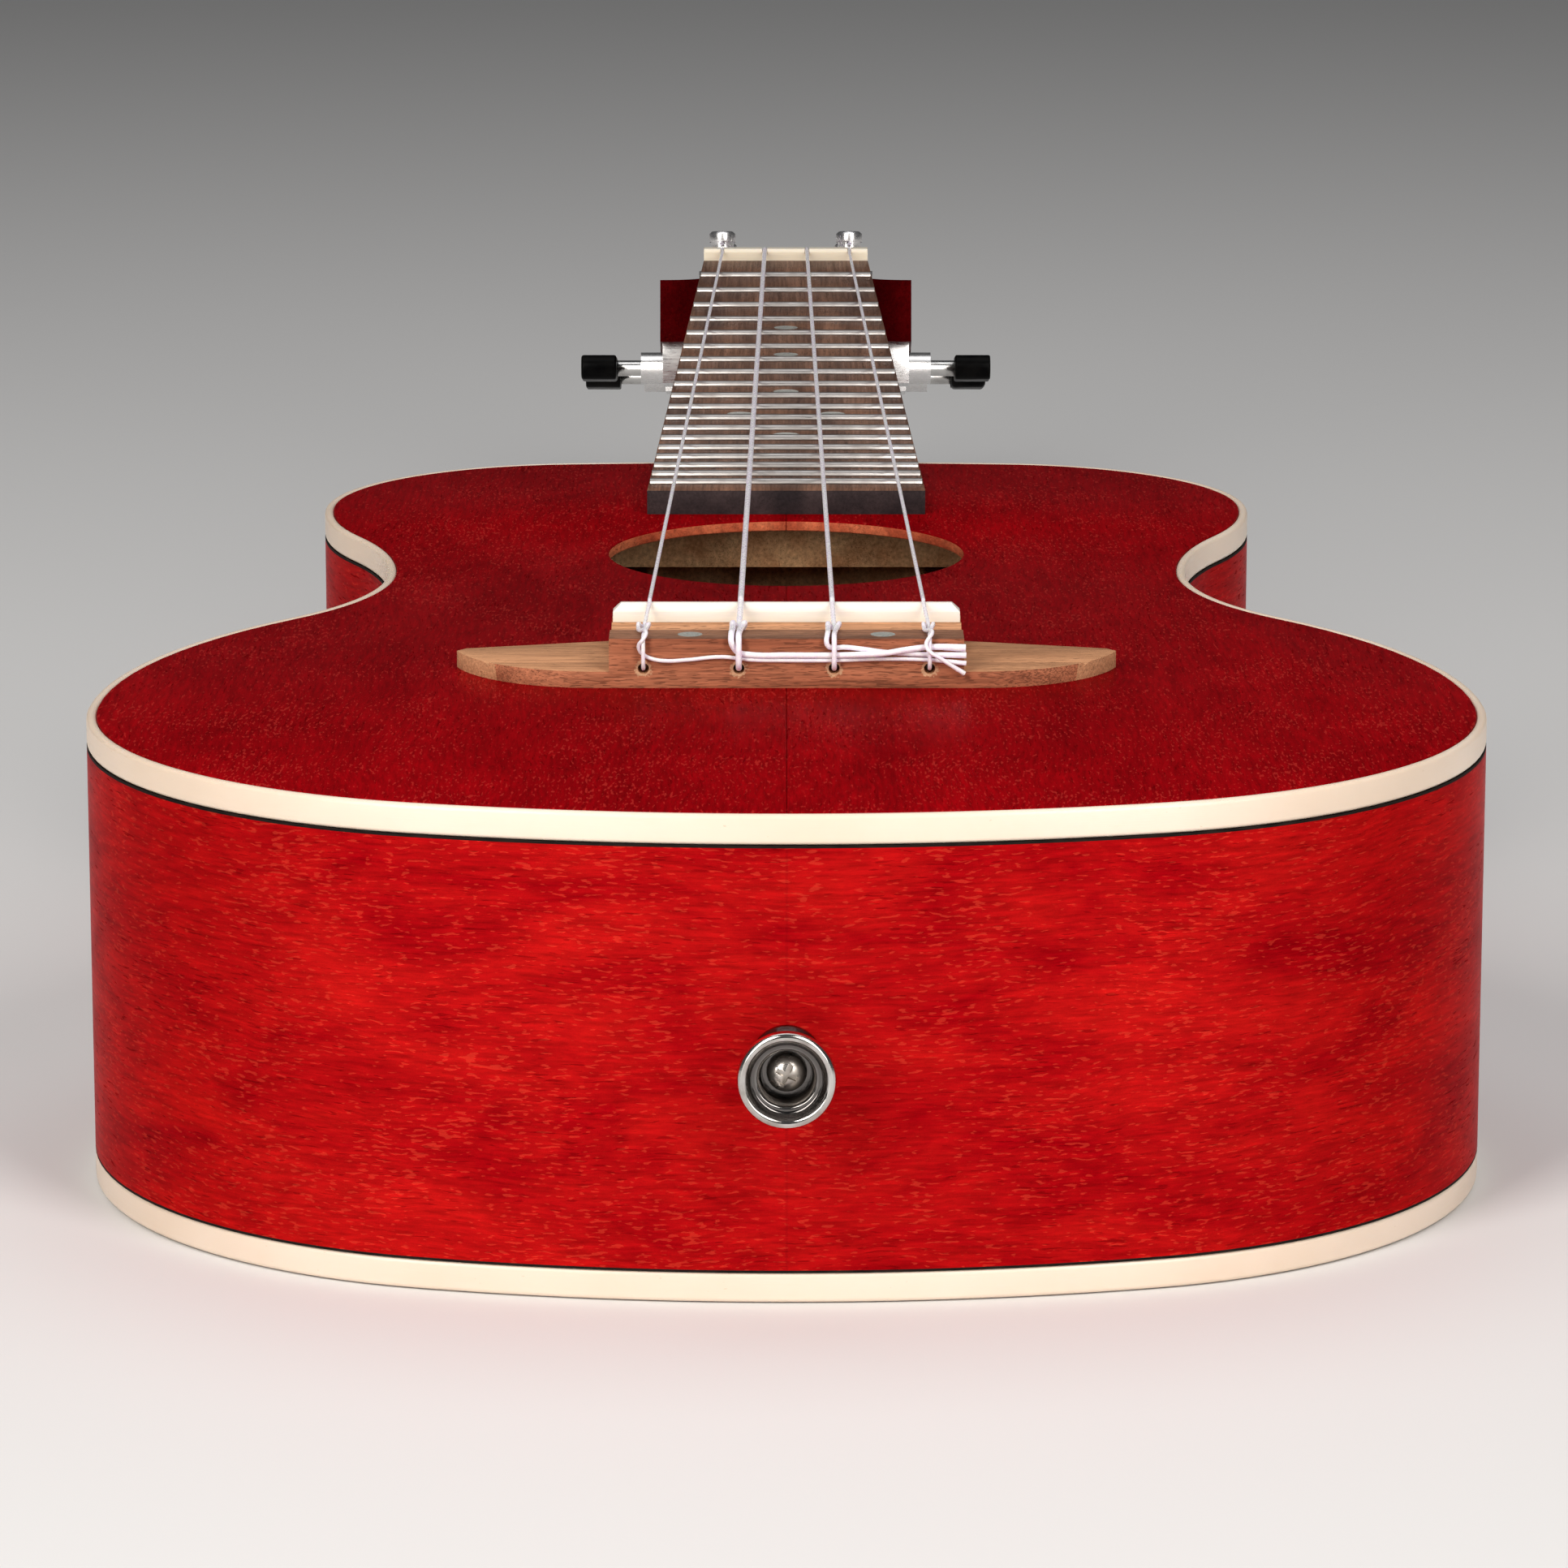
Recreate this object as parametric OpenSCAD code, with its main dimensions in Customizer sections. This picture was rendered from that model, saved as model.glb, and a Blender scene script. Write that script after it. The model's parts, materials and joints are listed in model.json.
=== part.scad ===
// Tenor ukulele with a bound, waisted body and geared tuners.
// X runs to the treble side, Y from tail to head, Z up out of the back.
// The origin is on the back's outer face, straight under the saddle's crown.

/* [Scale] */
// Open string length, from saddle crown to nut
scale_len = 430; // [428:1:432]
// Number of frets
fret_count = 19; // [17:1:19]

/* [Body] */
// Depth of the body, back face to soundboard face
body_depth = 75.5; // [70:0.5:80]
// Distance from saddle crown back to the tail end
tail_dist = 113.8; // [113:0.2:115]
// Radius of the tail end
tail_r = 215; // [210:1:230]
// Half width of the lower bout
lower_half = 111.4; // [109:0.2:113]
// Place of the lower bout's widest line
lower_y = -34.8; // [-36:0.2:-33]
// Half width of the waist
waist_half = 70; // [69:0.2:71]
// Place of the waist
waist_y = 77.2; // [76:0.2:79]
// Radius of the waist on its tail side
waist_tail_r = 60; // [58:1:62]
// Radius of the waist on its neck side
waist_neck_r = 85; // [82:1:88]
// Half width of the upper bout
upper_half = 85; // [84:0.2:86]
// Place of the upper bout's widest line
upper_y = 144.2; // [143.6:0.2:145]
// Radius of the shoulders
shoulder_r = 47; // [46:0.5:47]
// Place of the body's neck end
end_y = 192.7; // [192.3:0.2:193]
// Thickness of the soundboard
top_t = 2; // [1.8:0.1:2.2]
// Thickness of the back
back_t = 2.2; // [2:0.1:2.4]
// Thickness of the sides
side_t = 2; // [2:0.1:2.4]
// Radius of the sound hole
hole_r = 31.6; // [30:0.2:33]
// Place of the sound hole's centre
hole_y = 98.1; // [97:0.1:99]

/* [Binding] */
// Width of the binding strip, seen from above
bind_w = 1.6; // [1.4:0.1:1.8]
// Height of the binding strip on the side
bind_h = 4.7; // [4:0.1:5]
// Height of the dark purfling line beside it
purf_h = 0.4; // [0.3:0.1:1]

/* [Neck] */
// Width of the neck and nut at the nut
nut_w = 36.8; // [36:0.2:38]
// Width of the fretboard at its sound hole end
board_end_w = 51; // [50:0.5:53]
// Place of the fretboard's sound hole end
board_end_y = 135.9; // [134:0.1:137]
// Thickness of the fretboard
board_t = 4.4; // [4:0.1:5]
// Depth of the neck below the fretboard at the nut
neck_d_nut = 13.8; // [13:0.2:14.2]
// Depth of the neck below the fretboard at the heel
neck_d_heel = 16; // [15:0.5:17]
// Length of the nut along the neck
nut_len = 5; // [4:0.5:6]
// Height of the nut above the neck
nut_h = 7; // [6.6:0.1:7.4]

/* [Headstock] */
// Angle that the headstock leans back
head_angle = 12; // [10:0.5:13]
// Thickness of the headstock
head_t = 14; // [13.5:0.5:14]
// Length of the headstock
head_len = 118; // [114:1:124]
// Half width of the headstock at its shoulders
head_half = 28.5; // [28:0.5:30]

/* [Bridge] */
// Length of the bridge, wing tip to wing tip
bridge_len = 108; // [106:1:110]
// Length of the tie block
block_len = 57.3; // [56:0.1:59]
// Height of the tie block
block_h = 8.1; // [7.8:0.1:8.4]
// Height of the ledge that holds the saddle
ledge_h = 7; // [6.8:0.1:7.4]
// Thickness of the wings
wing_t = 2.7; // [2.5:0.1:3]
// Height of the saddle's crown above the soundboard
saddle_top = 10.1; // [9.8:0.1:10.6]
// Spacing of the outer strings at the saddle
string_span = 44.9; // [44:0.1:46]
// Spacing of the outer tie holes
tie_span = 46.2; // [45.4:0.1:47]

/* [Tuners] */
// Distance of the string posts from the centreline
post_x = 14.5; // [14:0.1:15]
// Place of the first pair of posts, from the nut
post_v1 = 26; // [25:1:27]
// Place of the second pair of posts, from the nut
post_v2 = 64; // [60:1:68]
// Height of the posts above the headstock
post_h = 12; // [11.5:0.5:13]

/* [Hidden] */
$fn = 64;
top_z = body_depth;
nut_y = scale_len;
head_y = nut_y + nut_len;
lining_w = 5;
lining_h = 11;
block_half = 26;
tail_block_len = 14;
neck_block_len = 30;
brace_w = 6;
brace_h = 9;
bridge_back_y = -21;
bridge_front_y = 4.4;
strap_z = 38;
string_r = [0.33, 0.5, 0.42, 0.33];
nut_span = 28.5;
run_fit = 0.05;

// ---- Body outline: tangent arcs from the tail round to the neck ----

// Centres and radii that make each arc meet the next one smoothly
tail_c = [0, tail_r - tail_dist];
tail_drop = tail_c[1] - lower_y;
lower_r = (tail_r * tail_r - lower_half * lower_half - tail_drop * tail_drop)
    / (2 * (tail_r - lower_half));
lower_c = [lower_half - lower_r, lower_y];
flank_k = waist_half + waist_tail_r - lower_half;
flank_d = waist_y - lower_y;
flank_r = (flank_k * flank_k + flank_d * flank_d - waist_tail_r * waist_tail_r)
    / (2 * (waist_tail_r - flank_k));
flank_c = [lower_half - flank_r, lower_y];
waist_tail_c = [waist_half + waist_tail_r, waist_y];
waist_neck_c = [waist_half + waist_neck_r, waist_y];
upper_k = waist_half + waist_neck_r - upper_half;
upper_d = upper_y - waist_y;
upper_r = (upper_k * upper_k + upper_d * upper_d - waist_neck_r * waist_neck_r)
    / (2 * (waist_neck_r - upper_k));
upper_c = [upper_half - upper_r, upper_y];
shoulder_c = [upper_half - shoulder_r, upper_y];
end_d = end_y - upper_y;
end_r = (pow(upper_half - shoulder_r, 2) + end_d * end_d - shoulder_r * shoulder_r)
    / (2 * (end_d - shoulder_r));
end_c = [0, end_y - end_r];

function heading(from, to) = atan2(to[1] - from[1], to[0] - from[0]);

// Points along an arc, the last one left to the next arc
function arc(c, r, a0, a1, n) =
    [for (i = [0:n - 1]) c + r * [cos(a0 + (a1 - a0) * i / n), sin(a0 + (a1 - a0) * i / n)]];

a_tail = heading(tail_c, lower_c);
a_flank = heading(flank_c, waist_tail_c);
a_upper = heading(upper_c, waist_neck_c);
a_end = heading(end_c, shoulder_c);

function half_outline(inset) = concat(
    arc(tail_c, tail_r - inset, -90, a_tail, 7),
    arc(lower_c, lower_r - inset, a_tail, 0, 11),
    arc(flank_c, flank_r - inset, 0, a_flank, 6),
    arc(waist_tail_c, waist_tail_r + inset, 180 + a_flank, 180, 6),
    arc(waist_neck_c, waist_neck_r + inset, 180, 180 + a_upper, 5),
    arc(upper_c, upper_r - inset, a_upper, 0, 4),
    arc(shoulder_c, shoulder_r - inset, 0, a_end, 10),
    arc(end_c, end_r - inset, a_end, 90, 3),
    [[0, end_y - inset]]);

function mirrored(points) = [for (i = [len(points) - 2:-1:1]) [-points[i][0], points[i][1]]];

module outline(inset) {
    right = half_outline(inset);
    polygon(concat(right, mirrored(right)));
}

module slab(inset, z0, z1) {
    translate([0, 0, z0])
        linear_extrude(z1 - z0)
            outline(inset);
}

module ring(outer, inner, z0, z1) {
    translate([0, 0, z0])
        linear_extrude(z1 - z0)
            difference() {
                outline(outer);
                outline(inner);
            }
}

// Keeps one side of the centreline: side is -1 for bass, 1 for treble
module half(side) {
    intersection() {
        children();
        translate([side * 100, 40, 50])
            cube([200, 400, 200], center = true);
    }
}

module block_at(x0, x1, y0, y1, z0, z1) {
    translate([x0, y0, z0])
        cube([x1 - x0, y1 - y0, z1 - z0]);
}

// ---- Body ----

module soundboard(side) {
    half(side)
        difference() {
            slab(bind_w, top_z - top_t, top_z);
            translate([0, hole_y, top_z - top_t - 1])
                cylinder(r = hole_r, h = top_t + 2);
            bridge_bolt_places()
                translate([0, 0, top_z - top_t - 1])
                    cylinder(r = bolt_r, h = top_t + 2);
        }
}

module soundboard_bass() {
    color("firebrick")
        soundboard(-1);
}

module soundboard_treble() {
    color("firebrick")
        soundboard(1);
}

module back_panel() {
    color("firebrick")
        slab(bind_w, 0, back_t);
}

module side_strip(side) {
    half(side)
        difference() {
            union() {
                ring(0, side_t, bind_h + purf_h, top_z - bind_h - purf_h);
                ring(bind_w, side_t, back_t, top_z - top_t);
            }
            strap_screw_bore();
        }
}

module side_bass() {
    color("crimson")
        side_strip(-1);
}

module side_treble() {
    color("crimson")
        side_strip(1);
}

module top_binding() {
    color("cornsilk")
        ring(0, bind_w, top_z - bind_h, top_z);
}

module back_binding() {
    color("cornsilk")
        ring(0, bind_w, 0, bind_h);
}

module top_purfling() {
    color("black")
        ring(0, bind_w, top_z - bind_h - purf_h, top_z - bind_h);
}

module back_purfling() {
    color("black")
        ring(0, bind_w, bind_h, bind_h + purf_h);
}

module linings(z0, z1) {
    difference() {
        ring(side_t, side_t + lining_w, z0, z1);
        block_at(-block_half, block_half, -200, -tail_dist + side_t + tail_block_len, 0, top_z);
        block_at(-block_half, block_half, end_y - side_t - neck_block_len, 300, 0, top_z);
    }
}

module top_linings() {
    color("peru")
        linings(top_z - top_t - lining_h, top_z - top_t);
}

module back_linings() {
    color("peru")
        linings(back_t, back_t + lining_h);
}

module tail_block() {
    color("burlywood")
        difference() {
            intersection() {
                slab(side_t, back_t, top_z - top_t);
                block_at(-block_half, block_half, -200, -tail_dist + side_t + tail_block_len, 0, top_z);
            }
            strap_screw_bore();
        }
}

module neck_block() {
    color("burlywood")
        intersection() {
            slab(side_t, back_t, top_z - top_t);
            block_at(-block_half, block_half, end_y - side_t - neck_block_len, 300, 0, top_z);
        }
}

fan_x = [-38, 0, 38];
fan_y0 = tail_block_len + side_t + 1 - tail_dist;
plate_y0 = bridge_back_y - 4;
plate_y1 = bridge_front_y + 4;
upper_brace_y = 145;
lower_brace_y = 46;

module soundboard_braces() {
    z1 = top_z - top_t;
    color("burlywood")
        intersection() {
            slab(side_t + lining_w, 0, top_z);
            union() {
                for (x = fan_x)
                    block_at(x - brace_w / 2, x + brace_w / 2, fan_y0 + abs(x) / 4, plate_y0, z1 - brace_h, z1);
                for (y = [lower_brace_y, upper_brace_y])
                    block_at(-200, 200, y - brace_w / 2, y + brace_w / 2, z1 - brace_h, z1);
            }
        }
}

module back_braces() {
    color("burlywood")
        intersection() {
            slab(side_t + lining_w, 0, top_z);
            for (y = [-55, 25, upper_brace_y])
                block_at(-200, 200, y - brace_w / 2, y + brace_w / 2, back_t, back_t + brace_h);
        }
}

module bridge_plate() {
    z1 = top_z - top_t;
    color("burlywood")
        difference() {
            block_at(-50, 50, plate_y0, plate_y1, z1 - 2, z1);
            bridge_bolt_places()
                translate([0, 0, z1 - 3])
                    cylinder(r = bolt_r, h = 4);
        }
}

// ---- Neck ----

function board_w(y) = nut_w + (board_end_w - nut_w) * (nut_y - y) / (nut_y - board_end_y);

// Half round cross-section below the fretboard, as a thin slice across the neck
module neck_slice(y, width, depth, thickness) {
    translate([0, y, top_z])
        rotate([90, 0, 0])
            linear_extrude(thickness)
                intersection() {
                    scale([1, 2 * depth / width])
                        circle(width / 2, $fn = 32);
                    translate([-width, -2 * depth])
                        square([2 * width, 2 * depth]);
                }
}

heel_h = 3.2;
heel_z = [heel_h, 26, 45, 64];
heel_w = [23, 26, 33, 45];
heel_len = [15, 17, 26, 52];

// Rounded tongue shape of the heel at one height
module heel_slice(width, length, z) {
    translate([0, end_y, z])
        linear_extrude(0.01)
            intersection() {
                translate([0, length - width / 2 * 0.9])
                    scale([1, 0.9])
                        circle(width / 2, $fn = 32);
                translate([-width, 0])
                    square([2 * width, 2 * length]);
            }
    translate([-width / 2, end_y, z])
        cube([width, 1, 0.01]);
}

module neck() {
    color("firebrick") {
        hull() {
            neck_slice(head_y, nut_w, neck_d_nut, 0.01);
            neck_slice(end_y + 0.01, board_w(end_y), neck_d_heel, 0.01);
        }
        for (i = [0:2])
            hull() {
                heel_slice(heel_w[i], heel_len[i], heel_z[i]);
                heel_slice(heel_w[i + 1], heel_len[i + 1], heel_z[i + 1]);
            }
    }
}

module heel_cap() {
    color("cornsilk")
        hull() {
            heel_slice(heel_w[0], heel_len[0], 0);
            heel_slice(heel_w[0], heel_len[0], heel_h - 0.01);
        }
}

dot_frets = [5, 7, 10, 12, 14];
dot_r = 2.5;
dot_t = 1.5;
side_dot_r = 1;
fret_slot_w = 0.6;
fret_slot_d = 1.8;
fret_r = 1;

function fret_y(n) = scale_len / pow(2, n / 12);
function mid_fret_y(n) = (fret_y(n) + fret_y(n - 1)) / 2;

// Top dots sit between frets: one at most places and a pair at the octave
module dot_places() {
    for (n = dot_frets)
        for (x = n == 12 ? [-9, 9] : [0])
            translate([x, mid_fret_y(n), top_z + board_t])
                children();
}

module side_dot_places() {
    for (n = dot_frets)
        translate([-board_w(mid_fret_y(n)) / 2, mid_fret_y(n), top_z + board_t / 2])
            rotate([0, 90, 0])
                children();
}

module fretboard() {
    color("saddlebrown")
        difference() {
            translate([0, 0, top_z])
                linear_extrude(board_t)
                    polygon([
                        [-board_end_w / 2, board_end_y], [board_end_w / 2, board_end_y],
                        [nut_w / 2, nut_y], [-nut_w / 2, nut_y]]);
            for (n = [1:fret_count])
                block_at(-50, 50, fret_y(n) - fret_slot_w / 2, fret_y(n) + fret_slot_w / 2,
                    top_z + board_t - fret_slot_d, top_z + board_t + 1);
            dot_places()
                translate([0, 0, -dot_t])
                    cylinder(r = dot_r, h = dot_t + 1);
            side_dot_places()
                translate([0, 0, -1])
                    cylinder(r = side_dot_r, h = 3);
        }
}

module frets() {
    color("silver")
        for (n = [1:fret_count]) {
            length = board_w(fret_y(n)) - 0.4;
            translate([-length / 2, fret_y(n), top_z + board_t])
                rotate([0, 90, 0])
                    intersection() {
                        cylinder(r = fret_r, h = length);
                        translate([-2 * fret_r, -fret_r, 0])
                            cube([2 * fret_r, 2 * fret_r, length]);
                    }
            block_at(-length / 2, length / 2, fret_y(n) - fret_slot_w / 2, fret_y(n) + fret_slot_w / 2,
                top_z + board_t - fret_slot_d, top_z + board_t);
        }
}

module position_dots() {
    color("ivory")
        dot_places()
            translate([0, 0, -dot_t])
                cylinder(r = dot_r, h = dot_t);
}

module side_dots() {
    color("ivory")
        side_dot_places()
            translate([0, 0, 0.1])
                cylinder(r = side_dot_r, h = 1.9);
}

string_nut_z = top_z + 6.4;

function saddle_x(i) = string_span * (i / 3 - 0.5);
function tie_x(i) = tie_span * (i / 3 - 0.5);
function nut_x(i) = nut_span * (i / 3 - 0.5);

module nut() {
    crown_r = 1.5;
    color("ivory")
        difference() {
            intersection() {
                block_at(-nut_w / 2, nut_w / 2, nut_y, head_y, top_z, top_z + nut_h);
                translate([-50, nut_y, top_z])
                    rotate([90, 0, 90])
                        linear_extrude(100)
                            polygon([
                                [0, 0], [nut_len, 0], [nut_len, nut_h - crown_r],
                                [nut_len - crown_r, nut_h], [0.6, nut_h], [0, nut_h - 0.6]]);
            }
            for (i = [0:3])
                block_at(nut_x(i) - string_r[i] - 0.05, nut_x(i) + string_r[i] + 0.05, nut_y - 1, head_y + 1,
                    string_nut_z - string_r[i] - 0.02, top_z + nut_h + 1);
        }
}

// ---- Bridge ----

saddle_t = 3;
saddle_seat = 3;
block_front_y = -13.6;
valley_z = 2.2;
tie_hole_z = 3.2;
tie_hole_r = 0.9;
wing_front_y = -2;
wing_arc_r = 24;
wing_arc_c = [31, 3];
bolt_r = 1.5;
bolt_x = 15.6;
bolt_y = -17.2;
bolt_head_r = 2;
bolt_head_t = 1.6;
dot_cover_t = 1.2;

module bridge_bolt_places() {
    for (side = [-1, 1])
        translate([side * bolt_x, bolt_y, 0])
            children();
}

// Plan of the bridge: a straight middle with wings that round off to the tips
module bridge_plan() {
    middle = wing_arc_c[0];
    block_front = block_len / 2;
    for (side = [0, 1])
        mirror([side, 0])
            intersection() {
                polygon([
                    [0, bridge_back_y], [bridge_len / 2, bridge_back_y],
                    [bridge_len / 2, wing_front_y - 2], [bridge_len / 2 - 1.5, wing_front_y],
                    [block_front, bridge_front_y], [0, bridge_front_y]]);
                union() {
                    translate([0, bridge_back_y])
                        square([middle, 40]);
                    translate(wing_arc_c)
                        circle(wing_arc_r);
                }
            }
}

module bridge_middle() {
    block_at(-block_len / 2, block_len / 2, bridge_back_y, block_front_y, 0, block_h);
    block_at(-block_len / 2, block_len / 2, block_front_y, bridge_front_y, 0, ledge_h);
}

// Ramp from the foot of the tie block up to the saddle
module bridge_valley() {
    translate([-block_len, 0, 0])
        rotate([90, 0, 90])
            linear_extrude(2 * block_len)
                polygon([
                    [block_front_y, valley_z], [-saddle_t / 2, ledge_h],
                    [-saddle_t / 2, 20], [block_front_y, 20]]);
}

module bridge() {
    color("peru")
        translate([0, 0, top_z])
            difference() {
                union() {
                    linear_extrude(wing_t)
                        bridge_plan();
                    bridge_middle();
                }
                bridge_valley();
                block_at(-50, 50, -saddle_t / 2, saddle_t / 2, saddle_seat, 20);
                for (i = [0:3])
                    translate([tie_x(i), bridge_back_y - 1, tie_hole_z])
                        rotate([-90, 0, 0])
                            cylinder(r = tie_hole_r, h = block_front_y - bridge_back_y + 2);
                bridge_bolt_places() {
                    translate([0, 0, -1])
                        cylinder(r = bolt_r, h = block_h + 2);
                    translate([0, 0, block_h - dot_cover_t - bolt_head_t])
                        cylinder(r = bolt_head_r, h = 10);
                }
            }
}

module bridge_dots() {
    color("white")
        bridge_bolt_places()
            translate([0, 0, top_z + block_h - dot_cover_t])
                cylinder(r = bolt_head_r, h = dot_cover_t);
}

module bridge_bolts() {
    nut_z = top_z - top_t - 2;
    color("silver")
        bridge_bolt_places() {
            translate([0, 0, nut_z - 4])
                cylinder(r = bolt_r, h = top_z + block_h - dot_cover_t - nut_z + 4);
            translate([0, 0, top_z + block_h - dot_cover_t - bolt_head_t])
                cylinder(r = bolt_head_r, h = bolt_head_t);
            translate([0, 0, nut_z - 2.4])
                cylinder(r = 3.1, h = 2.4, $fn = 6);
        }
}

module saddle() {
    half_len = block_len / 2 - 0.2;
    chamfer = 1.4;
    color("ivory")
        translate([0, 0, top_z])
            intersection() {
                translate([0, saddle_t / 2, 0])
                    rotate([90, 0, 0])
                        linear_extrude(saddle_t)
                            polygon([
                                [-half_len, saddle_seat], [half_len, saddle_seat],
                                [half_len, saddle_top - chamfer], [half_len - chamfer, saddle_top],
                                [chamfer - half_len, saddle_top], [-half_len, saddle_top - chamfer]]);
                union() {
                    block_at(-50, 50, -saddle_t / 2, saddle_t / 2, 0, saddle_top - saddle_t / 2);
                    translate([-50, 0, saddle_top - saddle_t / 2])
                        rotate([0, 90, 0])
                            cylinder(r = saddle_t / 2, h = 100);
                }
            }
}

// ---- Strings ----

// A tube swept along a route of points
function unit(v) = v / norm(v);
function tangent(path, i) =
    unit(path[min(i + 1, len(path) - 1)] - path[max(i - 1, 0)]);
function ring_points(path, i, r) =
    let (t = tangent(path, i), up = unit(cross([1, 0, 0], t)), side = cross(t, up))
    [for (k = [0:7]) path[i] + r * (cos(45 * k) * side + sin(45 * k) * up)];

module tube(path, r) {
    last = len(path) - 1;
    points = [for (i = [0:last]) each ring_points(path, i, r)];
    walls = [for (i = [0:last - 1], k = [0:7])
        [8 * i + k, 8 * i + (k + 1) % 8, 8 * i + 8 + (k + 1) % 8, 8 * i + 8 + k]];
    caps = [[for (k = [7:-1:0]) k], [for (k = [0:7]) 8 * last + k]];
    polyhedron(points, concat(walls, caps));
}

// Place on the headstock: across, along from the nut, up from its face
function on_head(x, v, w) = [
    x,
    head_y + v * cos(head_angle) + w * sin(head_angle),
    top_z - v * sin(head_angle) + w * cos(head_angle)];

wind_w = 7;
wind_r = 3.5;
wind_h = 2.8;

// Side, place along the headstock and string of each tuner
tuner_side = [-1, -1, 1, 1];
tuner_v = [post_v1, post_v2, post_v2, post_v1];

// The tie over the block, back through its hole, up past the block's front,
// over the saddle, along to the nut and in to the post
function string_path(i) = [
    [tie_x(i) - 0.8, -13.4, top_z + 9.2],
    [tie_x(i) - 1, -17, top_z + 8.8],
    [tie_x(i) - 0.7, -20.6, top_z + 8.8],
    [tie_x(i) - 0.3, -21.7, top_z + 8],
    [tie_x(i), -21.9, top_z + 6],
    [tie_x(i), -21.8, top_z + 4],
    [tie_x(i), -21, top_z + 3.2],
    [tie_x(i), -13.6, top_z + 3.2],
    [tie_x(i), -12.7, top_z + 4.2],
    [tie_x(i), -12.3, top_z + 6.8],
    [tie_x(i), -11.4, top_z + 7.6],
    [saddle_x(i), -1.3, top_z + saddle_top + string_r[i] - 0.5],
    [saddle_x(i), 0, top_z + saddle_top + string_r[i]],
    [saddle_x(i), 1.2, top_z + saddle_top + string_r[i]],
    [nut_x(i), nut_y, string_nut_z],
    [nut_x(i), head_y - 1, string_nut_z],
    [nut_x(i), head_y, string_nut_z - 0.1],
    on_head(tuner_side[i] * (post_x - wind_r - string_r[i] - 0.15), tuner_v[i], wind_w)];

module string_tube(i) {
    color("lavender")
        tube(string_path(i), string_r[i]);
}

module string_g() {
    string_tube(0);
}

module string_c() {
    string_tube(1);
}

module string_e() {
    string_tube(2);
}

module string_a() {
    string_tube(3);
}

// ---- Strap button ----

screw_r = 2;
button_r = 7.4;
button_neck_r = 3.6;
button_len = 13;
screw_len = 24;

module at_tail() {
    translate([0, -tail_dist, strap_z])
        rotate([90, 0, 0])
            children();
}

module strap_screw_bore() {
    at_tail()
        translate([0, 0, -screw_len])
            cylinder(r = screw_r, h = screw_len + 1);
}

// Spool with a narrow neck and a dished outer face
module strap_button() {
    neck_z0 = 3;
    neck_z1 = 8.5;
    color("silver")
        at_tail()
            rotate_extrude()
                polygon([
                    [screw_r + 0.1, 0], [5.4, 0], [5.4, 1], [button_neck_r, neck_z0],
                    [button_neck_r, neck_z1], [button_r - 0.6, button_len - 2.6], [button_r, button_len - 1.6],
                    [button_r, button_len - 0.5], [button_r - 0.5, button_len], [button_r - 1.2, button_len],
                    [button_r - 2, button_len - 2.2], [3.4, button_len - 3], [3.4, button_len - 6],
                    [screw_r + 0.1, button_len - 6]]);
}

module strap_button_screw() {
    head_z = button_len - 6;
    color("silver")
        at_tail()
            difference() {
                union() {
                    translate([0, 0, -screw_len])
                        cylinder(r = screw_r, h = screw_len + head_z);
                    translate([0, 0, head_z])
                        cylinder(r = 3.2, h = 2.2);
                }
                for (turn = [0, 90])
                    rotate([0, 0, turn])
                        translate([-1.9, -0.35, head_z + 1])
                            cube([3.8, 0.7, 2]);
            }
}

// ---- Headstock and tuners ----

post_r = 3;
stem_r = 2.2;
bush_r = 4.3;
box_h = 9.2;
wall = 1.2;
worm_w = -head_t - 5.6;
worm_v = -6.6;
worm_r = 2.3;
shaft_r = 1.8;
wheel_root_r = 3.3;
wheel_tip_r = 4.2;
wheel_teeth = 14;
wheel_h = 3;
wheel_w = worm_w - wheel_h / 2;
box_x0 = -6.5;
box_x1 = 13.5;
box_v0 = worm_v - worm_r - 2.4;
box_v1 = 5.8;
nose_x = 18.5;
nose_r = 3.6;
button_x0 = 24;
button_x1 = 32;
ear_v = box_v1 + 2.2;
ear_r = 2.7;
pilot_r = 1;

module on_headstock() {
    translate([0, head_y, top_z])
        rotate([-head_angle, 0, 0])
            children();
}

// Frame of tuner i: its post is on Z, its button points out along X
module at_tuner(i) {
    on_headstock()
        translate([tuner_side[i] * post_x, tuner_v[i], 0])
            mirror([tuner_side[i] < 0 ? 1 : 0, 0, 0])
                children();
}

module at_each_tuner() {
    for (i = [0:3])
        at_tuner(i)
            children();
}

module headstock() {
    root_half = nut_w / 2;
    tip_half = head_half + 1.5;
    color("firebrick")
        difference() {
            on_headstock()
                difference() {
                    translate([0, 0, -head_t])
                        linear_extrude(head_t)
                            head_plan(root_half, tip_half);
                    for (i = [0:3])
                        translate([tuner_side[i] * post_x, tuner_v[i], 0])
                            mirror([tuner_side[i] < 0 ? 1 : 0, 0, 0]) {
                                translate([0, 0, -head_t - 1])
                                    cylinder(r = bush_r, h = head_t + 2);
                                translate([0, ear_v, -head_t - 1])
                                    cylinder(r = pilot_r, h = 8);
                            }
                }
            block_at(-100, 100, head_y - 50, head_y, 0, 200);
        }
}

// Plan of the headstock: shoulders step out, the sides flare a little,
// and the tip has rounded corners with a shallow dip between them
function head_half_plan(root_half, tip_half) =
    let (step = head_half - root_half, foot = 2, shoulder_v = 11, corner = 8, dip = 4)
    concat(
        [[root_half, -6], [root_half, foot]],
        [for (a = [15:15:90]) [root_half + step * (1 - cos(a)), foot + (shoulder_v - foot) * sin(a)]],
        arc([tip_half - corner, head_len - corner], corner, 0, 90, 6),
        [for (t = [1:-0.125:0]) [(tip_half - corner) * t, head_len - dip * (1 + cos(180 * t)) / 2]]);

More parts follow.
